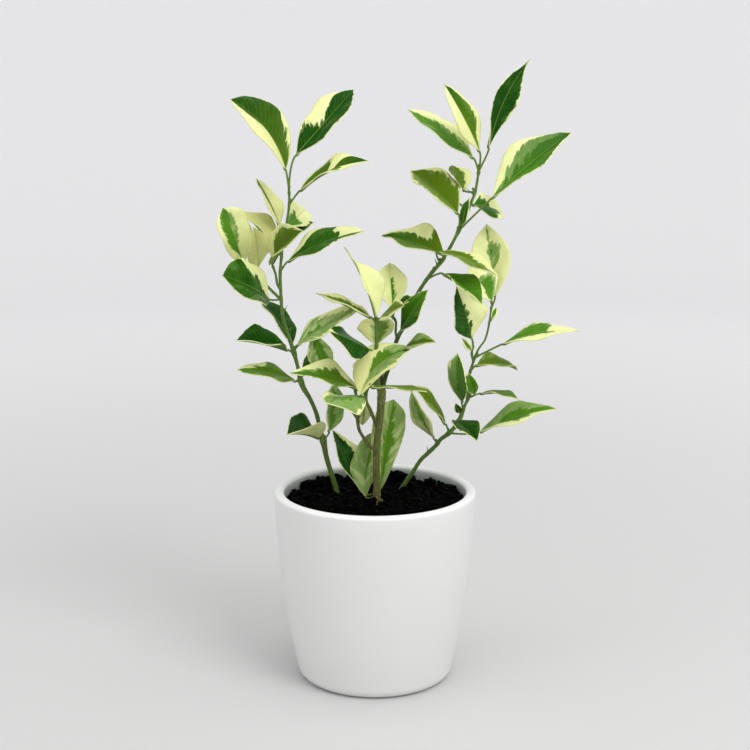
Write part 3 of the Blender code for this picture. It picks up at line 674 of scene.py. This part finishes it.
def set_values(mesh, name, values):
    """Writes a number or a vector for each vertex, or one number for them all, in an attribute."""
    values = np.asarray(values, dtype=np.float32)
    if values.ndim == 0:
        values = np.full(len(mesh.vertices), values)
    kind, field = ("FLOAT_VECTOR", "vector") if values.ndim == 2 else ("FLOAT", "value")
    mesh.attributes.new(name, kind, "POINT").data.foreach_set(field, values.ravel())


def half_reach(digits, part):
    """How far a colour reaches from the rib, from the digits of one half."""
    reach = {"0": -0.35, "9": 1.5}
    levels = [reach.get(digit, int(digit) / 9) for digit in digits]
    return np.interp(part, np.linspace(0, 1, len(levels)), levels)


def reach_values(pattern, part):
    left, right = pattern.split()
    return np.stack([half_reach(left, part), half_reach(right, part), 0 * part], axis=-1)


def make_blade(leaf, seed, sheet, settings):
    """A copy of the flat sheet, shaped as the leaf's blade and carrying its pattern."""
    made = new_object("blade", sheet.data.copy())
    mesh = made.data
    flat = np.empty(len(mesh.vertices) * 3, dtype=np.float32)
    mesh.vertices.foreach_get("co", flat)
    s, row, _ = flat.reshape(-1, 3).astype(float).T
    t = (row + 1) / 2
    t = t - 0.72 * np.sin(2 * math.pi * t) / (2 * math.pi)
    blade = Blade(leaf, seed)
    mesh.vertices.foreach_set("co", (blade.surface(t, s, settings.wave) * MM).ravel().astype(np.float32))
    part = np.clip(t - 0.25 * np.abs(s), 0, 1)
    tones = [np.array(TONES[name]) for name in (leaf.tone.split() * 2)[:2]]
    tone = tones[0] + (tones[1] - tones[0]) * t[:, None]
    set_values(mesh, "green_reach", reach_values(leaf.green, part))
    set_values(mesh, "deep_reach", reach_values(leaf.deep or leaf.green, part))
    set_values(mesh, "tone", tone)
    # Along the side veins and out from the rib, in millimetres, and a number of the leaf's own
    grain = np.stack([part * blade.length, s * blade.half_width(t), seed * 7.3 + 0 * t], axis=-1)
    set_values(mesh, "grain", grain)
    corners = np.empty(len(mesh.loops), dtype=np.int32)
    mesh.loops.foreach_get("vertex_index", corners)
    mesh.uv_layers[0].name = "blade"
    places = np.stack([s / 2 + 0.5, t], axis=-1)[corners]
    mesh.uv_layers["blade"].data.foreach_set("uv", places.ravel().astype(np.float32))
    return made, blade


def make_leaves(name, leaves, first_seed, sheet, settings, twigs):
    """The blades of one stem with their stalks, joined in one piece."""
    blades = []
    lines = []
    for number, leaf in enumerate(leaves):
        made, blade = make_blade(leaf, first_seed + number, sheet, settings)
        blades.append(made)
        lines.append(stalk_line(blade))
    piece = dressed(join(name, blades), "leaf_upper", "leaf_under", "leaf_stalk")
    piece.data.shade_smooth()
    select_only(piece)
    skin = piece.modifiers.new("Thickness", "SOLIDIFY")
    skin.thickness = settings.thickness
    skin.offset = -1
    skin.material_offset = 1
    skin.material_offset_rim = 0
    bpy.ops.object.modifier_apply(modifier=skin.name)
    stalks = dressed(tubes(f"{name}_stalks", lines, twigs.sides // 2), "leaf_stalk")
    return join(name, [piece, stalks])


def twig_line(twig, leaves):
    """Rows of x, y, z and radius along a twig, swollen where its leaves grow."""
    route = np.array([(*place(*point[:3]), point[3]) for point in TWIGS[twig]])
    rows = smoothed(route, 6)
    for leaf in leaves:
        if leaf.twig == twig:
            root = twig_point(twig, leaf.height)
            away = np.linalg.norm(rows[:, :3] - root, axis=1)
            rows[:, 3] += 0.2 * np.exp(-(away / 1.8) ** 2)
    uneven = np.array([noise.noise(Vector((*row[:3],)) * 0.35) for row in rows])
    rows[:, 3] *= 1 + 0.09 * uneven
    rows[-1, 3] *= 0.6
    return rows


def shoot_line(twig, height, reach, radius):
    """A short leafless shoot or thorn, from the twig's middle to a point."""
    root = twig_point(twig, height)
    end = root + np.array((reach[0], reach[2], reach[1]), dtype=float)
    rows = [(*(root + (end - root) * u), radius * (1.15 - u)) for u in (0, 0.4, 0.6, 0.8, 0.93, 1.0)]
    return np.array(rows)


def bud_at(leaf, pattern):
    """A small pointed bud in the corner between a leaf's stalk and its twig."""
    root = twig_point(leaf.twig, leaf.height)
    out = unit(place(*leaf.base) - root)
    up = np.array((0.0, 0.0, 1.0))
    heading = unit(out + 0.9 * up)
    made = new_object("bud", pattern.data.copy())
    turn = Vector(heading).to_track_quat("Z", "Y").to_matrix().to_4x4()
    spot = Vector((root + unit(out) * 1.5 + up * 1.5) * MM)
    made.data.transform(Matrix.Translation(spot) @ turn)
    return made


def make_twigs(name, twig_names, leaves, settings):
    """The twigs of one stem with their buds and short shoots, joined in one piece."""
    parts = []
    for twig in twig_names:
        made = tubes(twig, [twig_line(twig, leaves)], settings.sides)
        heights = np.array([vertex.co.z for vertex in made.data.vertices]) / MM
        ends = (TWIGS[twig][0][1], TWIGS[twig][-1][1])
        set_values(made.data, "bark", np.interp(heights, ends, BARK[twig]))
        # How far each vertex is darkened: partly darker skin, partly painted shade under the leaves
        dark = np.interp(heights, ends, DARK_SKIN_AND_SHADE.get(twig, (0, 0)))
        set_values(made.data, "dark", np.maximum(0, dark))
        parts.append(made)
    lines = [shoot_line(*shoot) for shoot in SHORT_SHOOTS if shoot[0] in twig_names]
    if lines:
        shoots = tubes("shoots", lines, 1)
        set_values(shoots.data, "bark", 0.2)
        parts.append(shoots)
    bud = new_primitive(bpy.ops.mesh.primitive_uv_sphere_add, "bud_pattern", segments=8, ring_count=6,
                        radius=BUD_RADIUS, location=(0, 0, 0))
    for vertex in bud.data.vertices:
        slim = 1 - 0.35 * max(0.0, vertex.co.z / BUD_RADIUS)
        vertex.co *= Vector((slim, slim, 1.5))
    set_values(bud.data, "bark", 0.25)
    bud.data.shade_smooth()
    parts += [bud_at(leaf, bud) for leaf in leaves]
    remove(bud)
    if "trunk" in twig_names:
        parts.append(make_roots())
    return dressed(join(name, parts), "stem_bark")


def make_roots():
    """Thin roots that lie on the soil round the trunk's foot."""
    x, y, _ = twig_point("trunk", STEM_FOOT - 2)
    lines = []
    for angle, reach, drop in ROOTS:
        turn = math.radians(angle)
        away = np.array((math.cos(turn), math.sin(turn)))
        bow = np.array((-away[1], away[0]))
        rows = []
        for u in np.linspace(0, 1, 9):
            at = np.array((x, y)) + away * (1.6 + reach * u) + bow * 1.1 * math.sin(2.5 * u + angle)
            height = 116.6 - 2.2 * u ** 0.6 + 0.5 * math.sin(7 * u) - drop * 0.2 * u
            rows.append((*at, height, 0.5 - 0.32 * u))
        lines.append(np.array(rows))
    made = tubes("roots", lines, 1)
    set_values(made.data, "bark", 1.0)
    return made


# Pot and soil

def pot_radius(settings, height):
    part = height / settings.height
    return (FOOT_RADIUS + SPREAD * part + BOW * part ** 2) * MM


def pot_profile(settings):
    lip = settings.lip
    lip_level = settings.height - lip
    mouth = pot_radius(settings, lip_level)
    foot = settings.foot
    inner = settings.floor + INNER_ROUNDING
    profile = arc((pot_radius(settings, foot) - foot, foot), foot, -90, 0, 8)
    profile += [(pot_radius(settings, z), z) for z in np.linspace(foot, lip_level, 16)[1:-1]]
    profile += arc((mouth - lip, lip_level), lip, 0, 90, 7)
    profile += arc((mouth - settings.wall + lip, lip_level), lip, 90, 180, 7)
    profile += [(pot_radius(settings, z) - settings.wall, z) for z in np.linspace(lip_level, inner, 12)[1:]]
    centre = (pot_radius(settings, inner) - settings.wall - INNER_ROUNDING, inner)
    profile += arc(centre, INNER_ROUNDING, 0, -90, 4)[1:]
    return profile + [(0.002, settings.floor)]


def soil_height(settings, x, y):
    """How far the crumbly surface stands above its level at a place in millimetres, in millimetres."""
    lumps = math.sin(0.33 * x + 0.9) * math.cos(0.29 * y - 0.4) + 0.7 * math.sin(0.21 * x - 0.47 * y)
    back = max(0.0, (y - 20) / 36)
    fine = noise.fractal(Vector((x, y, 0.0)) * 0.42, 0.7, 2.1, 4)
    calm = min(1.0, max(0.3, (56.0 - math.hypot(x, y)) / 5))
    return 0.9 * lumps + settings.back_rise / MM * back ** 2 + 1.3 * calm * fine


def make_soil_body(settings, pot):
    indent = pot.wall + settings.gap
    bed = pot.floor + settings.gap
    levels = np.linspace(bed + INNER_ROUNDING, settings.level - 0.004, 7)
    sides = [(pot_radius(pot, z) - indent, z) for z in levels]
    profile = [(sides[0][0] - INNER_ROUNDING, bed)] + sides
    rings = np.linspace(pot_radius(pot, settings.level) - indent, 0.0016, 44)
    profile += [(radius, settings.level) for radius in rings]
    body = turned_shell("soil_body", profile, 150)
    for vertex in body.data.vertices:
        if vertex.co.z > settings.level - 0.001:
            vertex.co.z += soil_height(settings, vertex.co.x / MM, vertex.co.y / MM) * MM
    return body


def make_crumbs(settings, pot):
    """Loose crumbs of soil, from three lumpy patterns."""
    random.seed(11)
    patterns = []
    for number in range(3):
        lump = new_primitive(bpy.ops.mesh.primitive_ico_sphere_add, f"lump_{number}", subdivisions=1,
                             radius=1.0, location=(0, 0, 0))
        for vertex in lump.data.vertices:
            vertex.co *= 0.75 + 0.5 * random.random()
        patterns.append(lump)
    room = pot_radius(pot, settings.level) - pot.wall
    stems = [twig_point(names[0], STEM_FOOT)[:2] * MM for names, _ in STEMS.values()]
    crumbs = bmesh.new()
    for number in range(settings.crumbs):
        size = settings.crumb_size * random.choice(CRUMB_SIZES) * random.uniform(0.8, 1.2)
        by_wall = number % WALL_EVERY == 0
        away = (room - 1.2 * size) * (1.0 if by_wall else math.sqrt(random.random()))
        turn = random.uniform(0, 2 * math.pi)
        x, y = away * math.cos(turn), away * math.sin(turn)
        if by_wall and y > BACK:
            # Larger clumps stand against the wall at the back
            size *= 1.55
            x, y = x * 0.985, y * 0.985
        if min(math.dist((x, y), stem) for stem in stems) < STEM_ROOM + size:
            continue
        z = settings.level + soil_height(settings, x / MM, y / MM) * MM + size * random.uniform(0.0, 0.8)
        angle = random.uniform(0, 6.28)
        axis = Vector((random.random(), random.random(), 1)).normalized()
        form = (size * random.uniform(0.7, 1.6), size, size * random.uniform(0.6, 1.2))
        if number % FIBRE_EVERY == 1:
            form = FIBRE
        stretch = Matrix.Diagonal((*form, 1))
        change = Matrix.Translation((x, y, z)) @ Matrix.Rotation(angle, 4, axis) @ stretch
        start = len(crumbs.verts)
        crumbs.from_mesh(random.choice(patterns).data)
        crumbs.verts.ensure_lookup_table()
        bmesh.ops.transform(crumbs, matrix=change, verts=crumbs.verts[start:])
    mesh = bpy.data.meshes.new("crumbs")
    crumbs.to_mesh(mesh)
    crumbs.free()
    for lump in patterns:
        remove(lump)
    return new_object("crumbs", mesh)


# Finishes

def arithmetic(operation, swapped=False):
    """A method of Value that adds a maths node and gives the node's result."""
    def apply(self, *others):
        given = (*others, self) if swapped else (self, *others)
        return node(self.tree, "ShaderNodeMath", given, operation=operation)[0]
    return apply


class Value:
    """A socket of a shader's node tree, which plain arithmetic connects to new maths nodes."""
    __add__ = __radd__ = arithmetic("ADD")
    __sub__ = arithmetic("SUBTRACT")
    __rsub__ = arithmetic("SUBTRACT", swapped=True)
    __mul__ = __rmul__ = arithmetic("MULTIPLY")
    __truediv__ = arithmetic("DIVIDE")
    __pow__ = arithmetic("POWER")
    __abs__ = arithmetic("ABSOLUTE")
    floor = arithmetic("FLOOR")
    fract = arithmetic("FRACT")
    root = arithmetic("SQRT")
    above = arithmetic("GREATER_THAN")
    at_least = arithmetic("MAXIMUM")

    def __init__(self, socket):
        self.socket = socket
        self.tree = socket.id_data


def fill(sockets, given):
    """Fills sockets from a row of values, or from values by name in lower case with underscores."""
    if isinstance(given, dict):
        given = [given.get(socket.name.lower().replace(" ", "_")) for socket in sockets]
    for socket, value in zip(sockets, given):
        if isinstance(value, Value):
            value.tree.links.new(value.socket, socket)
        elif isinstance(value, (int, float)):
            socket.default_value = value
        elif value is not None:
            socket.default_value = (*value, 1.0)[:len(socket.default_value)]


def node(tree, kind, given=(), **settings):
    """The outputs of a new shader node."""
    made = tree.nodes.new(kind)
    for name, value in settings.items():
        setattr(made, name, value)
    fill(made.inputs, given)
    return [Value(socket) for socket in made.outputs]


def clamped(value, low, high, low_to=0.0, high_to=1.0):
    """A smooth step from one value to another while the input goes from low to high."""
    given = (value, low, high, low_to, high_to)
    return node(value.tree, "ShaderNodeMapRange", given, interpolation_type="SMOOTHSTEP")[0]


def mixed(part, first, second):
    tree = next(value.tree for value in (part, first, second) if isinstance(value, Value))
    # Sockets 1 to 5 are for numbers and vectors
    return node(tree, "ShaderNodeMix", (part, *[None] * 5, first, second), data_type="RGBA")[2]


def shaded(part, tint, dark, light=1.0):
    """A colour that goes from a darker to a lighter shade."""
    return mixed(part, *([shade * channel for channel in tint] for shade in (dark, light)))


def split(vector):
    return node(vector.tree, "ShaderNodeSeparateXYZ", [vector])


def combined(*parts):
    return node(parts[0].tree, "ShaderNodeCombineXYZ", parts)[0]


def stretched(vector, tall):
    return node(vector.tree, "ShaderNodeMapping", {"vector": vector, "scale": (1, 1, tall)})[0]


def speckle(vector, scale, detail=2.0, roughness=0.5):
    given = {"vector": vector, "scale": scale, "detail": detail, "roughness": roughness}
    return node(vector.tree, "ShaderNodeTexNoise", given)[0]


def bump(height, distance, strength=1.0):
    given = {"height": height, "distance": distance, "strength": strength}
    return node(height.tree, "ShaderNodeBump", given)[0]


def attribute(tree, name, output="Vector"):
    made = tree.nodes.new("ShaderNodeAttribute")
    made.attribute_name = name
    return Value(made.outputs[output])


def object_place(tree):
    return Value(tree.nodes.new("ShaderNodeTexCoord").outputs["Object"])


def from_axis(x, y):
    return (x * x + y * y).root()


def new_group(name, inputs, outputs):
    """A shader node group's inputs and the sockets of its outputs. An input with no default is a vector."""
    tree = bpy.data.node_groups.new(name, "ShaderNodeTree")
    for socket, default in inputs.items():
        kind = "NodeSocketVector" if default is None else "NodeSocketFloat"
        made = tree.interface.new_socket(socket, in_out="INPUT", socket_type=kind)
        if default is not None:
            made.default_value = default
    for socket in outputs:
        tree.interface.new_socket(socket, in_out="OUTPUT", socket_type="NodeSocketFloat")
    given = tree.nodes.new("NodeGroupInput").outputs[:len(inputs)]
    return [Value(socket) for socket in given], tree.nodes.new("NodeGroupOutput").inputs


def placed(tree, group, **given):
    """The outputs of a group that is placed in a material, with inputs given by name."""
    if group not in bpy.data.node_groups:
        SHADER_GROUPS[group]()
    return node(tree, "ShaderNodeGroup", given, node_tree=bpy.data.node_groups[group])


def new_finish(name, roughness):
    """A new material's node tree, with its middling roughness on its Principled shader."""
    made = bpy.data.materials.new(name)
    made.use_nodes = True
    set_finish(made.node_tree, roughness=roughness)
    return made.node_tree


def set_finish(tree, **given):
    """Fills the sockets of the material's Principled shader by name."""
    fill(tree.nodes["Principled BSDF"].inputs, given)


def mottle_group():
    """Uneven tone: a soft value round 1 from noise at two scales."""
    (vector, scale, amount), out = new_group(
        "uneven_tone", {"Vector": None, "Scale": 100.0, "Amount": 0.1}, ("Tone", "Grain"))
    coarse = speckle(vector, scale, 3.0)
    grain = speckle(vector, scale * 6.0, 2.0, 0.6)
    fill(out, ((coarse * 0.7 + grain * 0.3 - 0.5) * (amount * 4.0) + 1.0, grain))


def variegation_group():
    """Where a leaf is green, and where darkest: blocks with edges stepped along its side veins."""
    (green_reach, deep_reach, blade, grain), out = new_group(
        "leaf_zones", {"Green Reach": None, "Deep Reach": None, "Blade": None, "Grain": None},
        ("Green", "Deep"))
    across = (split(blade)[0] - 0.5) * 2.0
    right = across.above(0.0)
    out_from_rib = abs(across)
    along, out_mm, seed = split(grain)
    # A thin pale margin that comes and goes along the edge
    half = abs(out_mm) / out_from_rib.at_least(0.01)
    hem = (speckle(combined(along * 0.35, right * 9.0, seed), 1.0) - 0.38) * 1.8
    edge = clamped(half - abs(out_mm) - hem, -0.12, 0.12)
    zones = []
    for reach, offset in ((green_reach, 0.0), (deep_reach, 31.7)):
        left_half, right_half, _ = split(reach)
        level = node(reach.tree, "ShaderNodeMix", (right, None, left_half, right_half))[0]
        own = seed + offset
        waver, swell, frays = (speckle(combined(along * run, out_mm * step, own), 1.0, 1.0)
                               for run, step in ((0.3, 0.2), (0.20, 0.06), (0.8, 0.7)))
        # Lanes between the side veins, each reaching its own way out and cut in at its two borders
        lanes = along * 0.22 + waver * 0.8
        spot = combined(lanes.floor() + right * 50.0, own, 0.0)
        block = node(reach.tree, "ShaderNodeTexWhiteNoise", [spot], noise_dimensions="2D")[0]
        notch = abs(lanes.fract() - 0.5) ** 4.0 * 1.5
        swing = (swell - 0.5) * 0.45 + (frays - 0.5) * 0.10 + (block - 0.5) * 0.22 - notch
        zones.append(clamped(level - out_from_rib + swing, -0.02, 0.03))
    # Here and there the darker green is thin between two side veins, away from the rib
    patch = clamped(block, 0.66, 0.72) * clamped(out_from_rib - (frays * 0.7 + 0.12), -0.03, 0.03)
    fill(out, (zones[0] * edge, zones[1] * (1.0 - patch * 0.55)))


def vein_group():
    """A leaf's rib and side veins as masks, and the height of its quilted surface."""
    (blade, grain, spacing, rib_width), out = new_group(
        "leaf_veins", {"Blade": None, "Grain": None, "Spacing": 3.4, "Rib Width": 0.55},
        ("Rib", "Veins", "Height"))
    along, out_mm, seed = split(grain)
    rib = clamped(abs(out_mm) / (rib_width * ((1.05 - split(blade)[1]) * 0.8 + 0.2)), 1.3, 0.6)
    wobble = speckle(combined(along * 0.12, out_mm * 0.15, seed), 1.0)
    cell = abs((along / spacing + wobble * 1.1).fract() - 0.5) * 2.0
    net = speckle(combined(along, out_mm, seed), 1.1)
    height = (1.0 - cell ** 2.5) * 0.35 + net * 0.45 - rib * 0.9
    fill(out, (rib, clamped(cell, 0.82, 0.97), height))


SHADER_GROUPS = {"uneven_tone": mottle_group, "leaf_zones": variegation_group, "leaf_veins": vein_group}


def leaf_colours(tree, settings):
    """A blade's colour, the height of its surface and its fine grain."""
    blade = node(tree, "ShaderNodeUVMap", uv_map="blade")[0]
    grain = attribute(tree, "grain")
    green_zone, deep_zone = placed(
        tree, "leaf_zones", green_reach=attribute(tree, "green_reach"),
        deep_reach=attribute(tree, "deep_reach"), blade=blade, grain=grain)
    rib, veins, height = placed(tree, "leaf_veins", blade=blade, grain=grain)
    tone, fine = placed(tree, "uneven_tone", vector=object_place(tree), scale=130.0, amount=0.36)
    light, warm, dull = split(attribute(tree, "tone"))
    light = light + (tone - 1.0) * 0.6 + veins * 0.15
    light.socket.node.use_clamp = True
    green = mixed(light, settings.deep, settings.fresh)
    green = mixed(warm * 0.85, green, settings.olive)
    thin = mixed(light * 0.80 + 0.07, green, settings.grey)
    # The palest leaves are blotched with a paler green
    blotch = clamped(speckle(grain, 0.17), 0.47, 0.60) * light ** 6.0
    thin = mixed(blotch * 0.8, thin, settings.blotch)
    cream = mixed(dull, settings.cream, settings.dull)
    cream = mixed(clamped(tone, 0.85, 1.35) * 0.30, cream, settings.dull)
    tint = mixed(green_zone, cream, mixed(deep_zone, thin, green))
    tint = mixed(veins * 0.07, tint, settings.vein)
    tint = mixed(rib * 0.35, tint, settings.rib)
    return tint, height, fine


def make_leaf_finishes(settings, twigs):
    tree = new_finish("leaf_upper", 0.38)
    tint, height, fine = leaf_colours(tree, settings)
    set_finish(tree, base_color=tint, roughness=clamped(fine, 0.2, 0.8, 0.32, 0.48),
               normal=bump(height, 0.00024, 0.8), specular_ior_level=0.06, coat_weight=0.07,
               coat_roughness=0.2)
    tree = new_finish("leaf_under", 0.6)
    tint, height, _ = leaf_colours(tree, settings)
    set_finish(tree, base_color=mixed(0.28, tint, settings.under), specular_ior_level=0.08,
               normal=bump(height * -1.0, 0.0002, 0.7))
    tree = new_finish("leaf_stalk", 0.45)
    tone, grain = placed(tree, "uneven_tone", vector=object_place(tree), scale=160.0, amount=0.25)
    set_finish(tree, base_color=shaded(clamped(tone, 0.6, 1.4), twigs.stalk, 0.55),
               normal=bump(grain, 0.0001, 0.5), specular_ior_level=0.2)


def make_stem_finish(settings):
    tree = new_finish("stem_bark", 0.5)
    spot = object_place(tree)
    streaks, _ = placed(tree, "uneven_tone", vector=stretched(spot, 0.22), scale=900.0, amount=0.5)
    broad, _ = placed(tree, "uneven_tone", vector=spot, scale=60.0, amount=0.4)
    aged = clamped(attribute(tree, "bark", "Fac") + (broad - 1.0) * 0.6, 0.15, 0.85)
    shade = clamped(streaks, 0.5, 1.5)
    tint = mixed(aged, shaded(shade, settings.young, 0.6, 1.4), shaded(shade, settings.bark, 0.45, 1.5))
    # Darker where the dark attribute says: partly the twig's own darker skin, partly painted shade under the
    # leaves
    tint = mixed(attribute(tree, "dark", "Fac") * 0.72, tint, settings.dark)
    # Pale pores in some of the cells of the older bark
    distance, own_colour, *_ = node(
        tree, "ShaderNodeTexVoronoi", {"vector": stretched(spot, 0.6), "scale": 620.0})
    pores = clamped(distance, 0.30, 0.16) * clamped(split(own_colour)[0], 0.45, 0.55) * (aged * 0.75)
    set_finish(tree, base_color=mixed(pores, tint, settings.pores), specular_ior_level=0.3,
               roughness=clamped(aged, 0.0, 1.0, 0.36, 0.82),
               normal=bump(streaks * (aged + 0.15) + pores, 0.00025, 0.9))


def make_soil_finish(settings):
    tree = new_finish("damp_soil", 0.9)
    spot = object_place(tree)
    tone, grain = placed(tree, "uneven_tone", vector=spot, scale=420.0, amount=0.6)
    flecks = clamped(speckle(spot, 700.0, 3.0, 0.7), 0.63, 0.76)
    tint = shaded(clamped(tone, 0.6, 1.6), settings.dark, 0.5, 1.8)
    set_finish(tree, base_color=mixed(flecks, tint, settings.light), normal=bump(tone, 0.0008),
               roughness=clamped(grain, 0.3, 0.7, 0.72, 1.0), specular_ior_level=0.05)


def make_pot_finish(settings, soil):
    tree = new_finish("white_glaze", settings.roughness)
    spot = object_place(tree)
    tone, grain = placed(tree, "uneven_tone", vector=spot, scale=28.0, amount=0.03)
    tint = shaded(clamped(tone, 0.94, 1.06), settings.glaze, 0.965)
    # The inner wall, less than 60 mm from the axis, has dust and splashes of soil, and painted shade darkens
    # it near the soil
    x, y, z = split(spot)
    wall = clamped(from_axis(x, y), 0.0600, 0.0588) * z.above(soil.level - 0.006)
    low = clamped(z, soil.level + 0.009, soil.level + 0.0005)
    dust = clamped(speckle(spot, 650.0, 3.0, 0.65) + low * 0.22, 0.73, 0.82) * wall * low
    # Painted shade: the inner wall is darkened towards the soil, where the wall and the leaves above shade
    # it
    tint = mixed(wall * clamped(z, soil.level + 0.009, soil.level + 0.003), tint, settings.inside)
    # Painted highlight: the top of the rim is lightened where light falls on it
    rim_highlight = clamped(z, settings.height - 0.0022, settings.height - 0.0006)
    tint = mixed(rim_highlight * 0.85, tint, settings.rim_highlight)
    rough = clamped(grain, 0.2, 0.8, settings.roughness - 0.05, settings.roughness + 0.06)
    set_finish(tree, base_color=mixed(dust, tint, soil.light), roughness=rough + dust * 0.4,
               normal=bump(speckle(spot, 900.0), 0.00004, 0.5), coat_weight=0.15, coat_roughness=0.12)


def make_floor_finish(settings):
    tree = new_finish("studio_floor", 0.85)
    x, y, _ = split(object_place(tree))
    far = clamped(from_axis(x, y), 0.15, settings.radius - 0.2)
    set_finish(tree, base_color=mixed(far, settings.floor, settings.backdrop), specular_ior_level=0.1)


# Operators

def settings_of(context):
    return context.scene.calamondin


def finished(piece, cad_node):
    settle(piece)
    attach(piece, "root")
    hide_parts(cad_node)


class CALAMONDIN_OT_pot(bpy.types.Operator):
    """Model the white pot, with its rounded lip and foot"""
    bl_idname = "calamondin.pot"
    bl_label = "Pot"

    def execute(self, context):
        settings = settings_of(context)
        make_pot_finish(settings.pot, settings.soil)
        pot = turned_shell("white_pot", pot_profile(settings.pot), settings.pot.sides)
        dressed(pot, "white_glaze")
        select_only(pot)
        bpy.ops.object.shade_smooth_by_angle(angle=math.radians(40))
        finished(pot, "pot")
        return {"FINISHED"}


class CALAMONDIN_OT_soil(bpy.types.Operator):
    """Model the crumbly soil that fills the pot"""
    bl_idname = "calamondin.soil"
    bl_label = "Soil"

    def execute(self, context):
        settings = settings_of(context)
        make_soil_finish(settings.soil)
        body = make_soil_body(settings.soil, settings.pot)
        crumbs = make_crumbs(settings.soil, settings.pot)
        soil = dressed(join("crumbly_soil", [body, crumbs]), "damp_soil")
        finished(soil, "soil")
        return {"FINISHED"}


class CALAMONDIN_OT_twigs(bpy.types.Operator):
    """Model the trunk, stems and twigs with their buds and short shoots"""
    bl_idname = "calamondin.twigs"
    bl_label = "Twigs"

    def execute(self, context):
        settings = settings_of(context)
        make_stem_finish(settings.twigs)
        for side, (twig_names, leaves) in STEMS.items():
            piece = make_twigs(f"twigs_{side}", twig_names, leaves, settings.twigs)
            finished(piece, f"leafy_stem_{side}")
        return {"FINISHED"}


class CALAMONDIN_OT_leaves(bpy.types.Operator):
    """Model every leaf with its stalk, rib and pattern of green and cream"""
    bl_idname = "calamondin.leaves"
    bl_label = "Leaves"

    def execute(self, context):
        settings = settings_of(context)
        make_leaf_finishes(settings.leaves, settings.twigs)
        sheet = new_primitive(
            bpy.ops.mesh.primitive_grid_add, "flat_sheet", x_subdivisions=settings.leaves.across,
            y_subdivisions=settings.leaves.along, size=2, location=(0, 0, 0), calc_uvs=True)
        seed = 1
        for side, (_, leaves) in STEMS.items():
            piece = make_leaves(f"leaves_{side}", leaves, seed, sheet, settings.leaves, settings.twigs)
            seed += len(leaves)
            finished(piece, f"leafy_stem_{side}")
        remove(sheet)
        return {"FINISHED"}


def area_light(name, spot, size, energy):
    """A soft round lamp that faces the plant."""
    light = bpy.data.lights.new(name, "AREA")
    light.shape = "DISK"
    light.size = size
    light.energy = energy
    lamp = new_object(name, light)
    lamp.location = spot
    lamp.rotation_euler = (Vector((0, 0, 0.2)) - Vector(spot)).to_track_quat("-Z", "Y").to_euler()


class CALAMONDIN_OT_stage(bpy.types.Operator):
    """Set up the camera, the soft lights and the pale floor"""
    bl_idname = "calamondin.stage"
    bl_label = "Stage"

    def execute(self, context):
        settings = settings_of(context).studio
        camera = new_object("camera", bpy.data.cameras.new("camera"))
        camera.data.lens = settings.lens
        camera.location = EYE * MM
        camera.rotation_euler = (math.radians(90 - EYE_PITCH), 0, 0)
        context.scene.camera = camera
        make_floor_finish(settings)
        profile = [(settings.radius * part, 0.0) for part in (0.02, 0.5, 1.0)]
        profile += arc((settings.radius, settings.rise), settings.rise, -90, 0, 12)[1:]
        profile += [(settings.radius + settings.rise, BACKDROP_TOP)]
        floor = new_primitive(bpy.ops.mesh.primitive_circle_add, "studio_floor", vertices=96,
                              radius=profile[0][0], location=(0, 0, 0))
        enter_edit()
        bpy.ops.mesh.select_mode(type="EDGE")
        ring_extruded(profile[1:], profile[0])
        bpy.ops.object.mode_set(mode="OBJECT")
        for edge in floor.data.edges:
            edge.select = all(floor.data.vertices[i].co.length < profile[0][0] * 1.1 for i in edge.vertices)
        bpy.ops.object.mode_set(mode="EDIT")
        bpy.ops.mesh.edge_face_add()
        leave_edit()
        floor.data.shade_smooth()
        dressed(floor, "studio_floor")
        for name, (spot, size) in LAMPS.items():
            area_light(name, spot, size, getattr(settings, name))
        world = bpy.data.worlds.new("soft_sky")
        world.use_nodes = True
        fill(world.node_tree.nodes["Background"].inputs, {"color": (1, 1, 1), "strength": settings.sky})
        context.scene.world = world
        context.scene.view_settings.view_transform = "Standard"
        return {"FINISHED"}


OPERATORS = (
    CALAMONDIN_OT_stage, CALAMONDIN_OT_pot, CALAMONDIN_OT_soil, CALAMONDIN_OT_twigs, CALAMONDIN_OT_leaves)
GROUPS = (PotSettings, SoilSettings, TwigSettings, LeafSettings, StudioSettings, CalamondinSettings)


class CALAMONDIN_PT_panel(bpy.types.Panel):
    """The plant's settings and the buttons that model it"""
    bl_idname = "CALAMONDIN_PT_panel"
    bl_label = "Potted calamondin"
    bl_space_type = "VIEW_3D"
    bl_region_type = "UI"
    bl_category = "Calamondin"

    def draw(self, context):
        settings = settings_of(context)
        for part in ("studio", "pot", "soil", "twigs", "leaves"):
            box = self.layout.box()
            group = getattr(settings, part)
            for name in group.__annotations__:
                box.prop(group, name)
        for operator in OPERATORS:
            self.layout.operator(operator.bl_idname)


def register():
    for kind in (*GROUPS, *OPERATORS, CALAMONDIN_PT_panel):
        bpy.utils.register_class(kind)
    bpy.types.Scene.calamondin = PointerProperty(type=CalamondinSettings)


def unregister():
    del bpy.types.Scene.calamondin
    for kind in reversed((*GROUPS, *OPERATORS, CALAMONDIN_PT_panel)):
        bpy.utils.unregister_class(kind)


def main():
    register()
    bpy.ops.calamondin.stage()
    bpy.ops.calamondin.pot()
    bpy.ops.calamondin.soil()
    bpy.ops.calamondin.twigs()
    bpy.ops.calamondin.leaves()


if __name__ == "__main__":
    main()
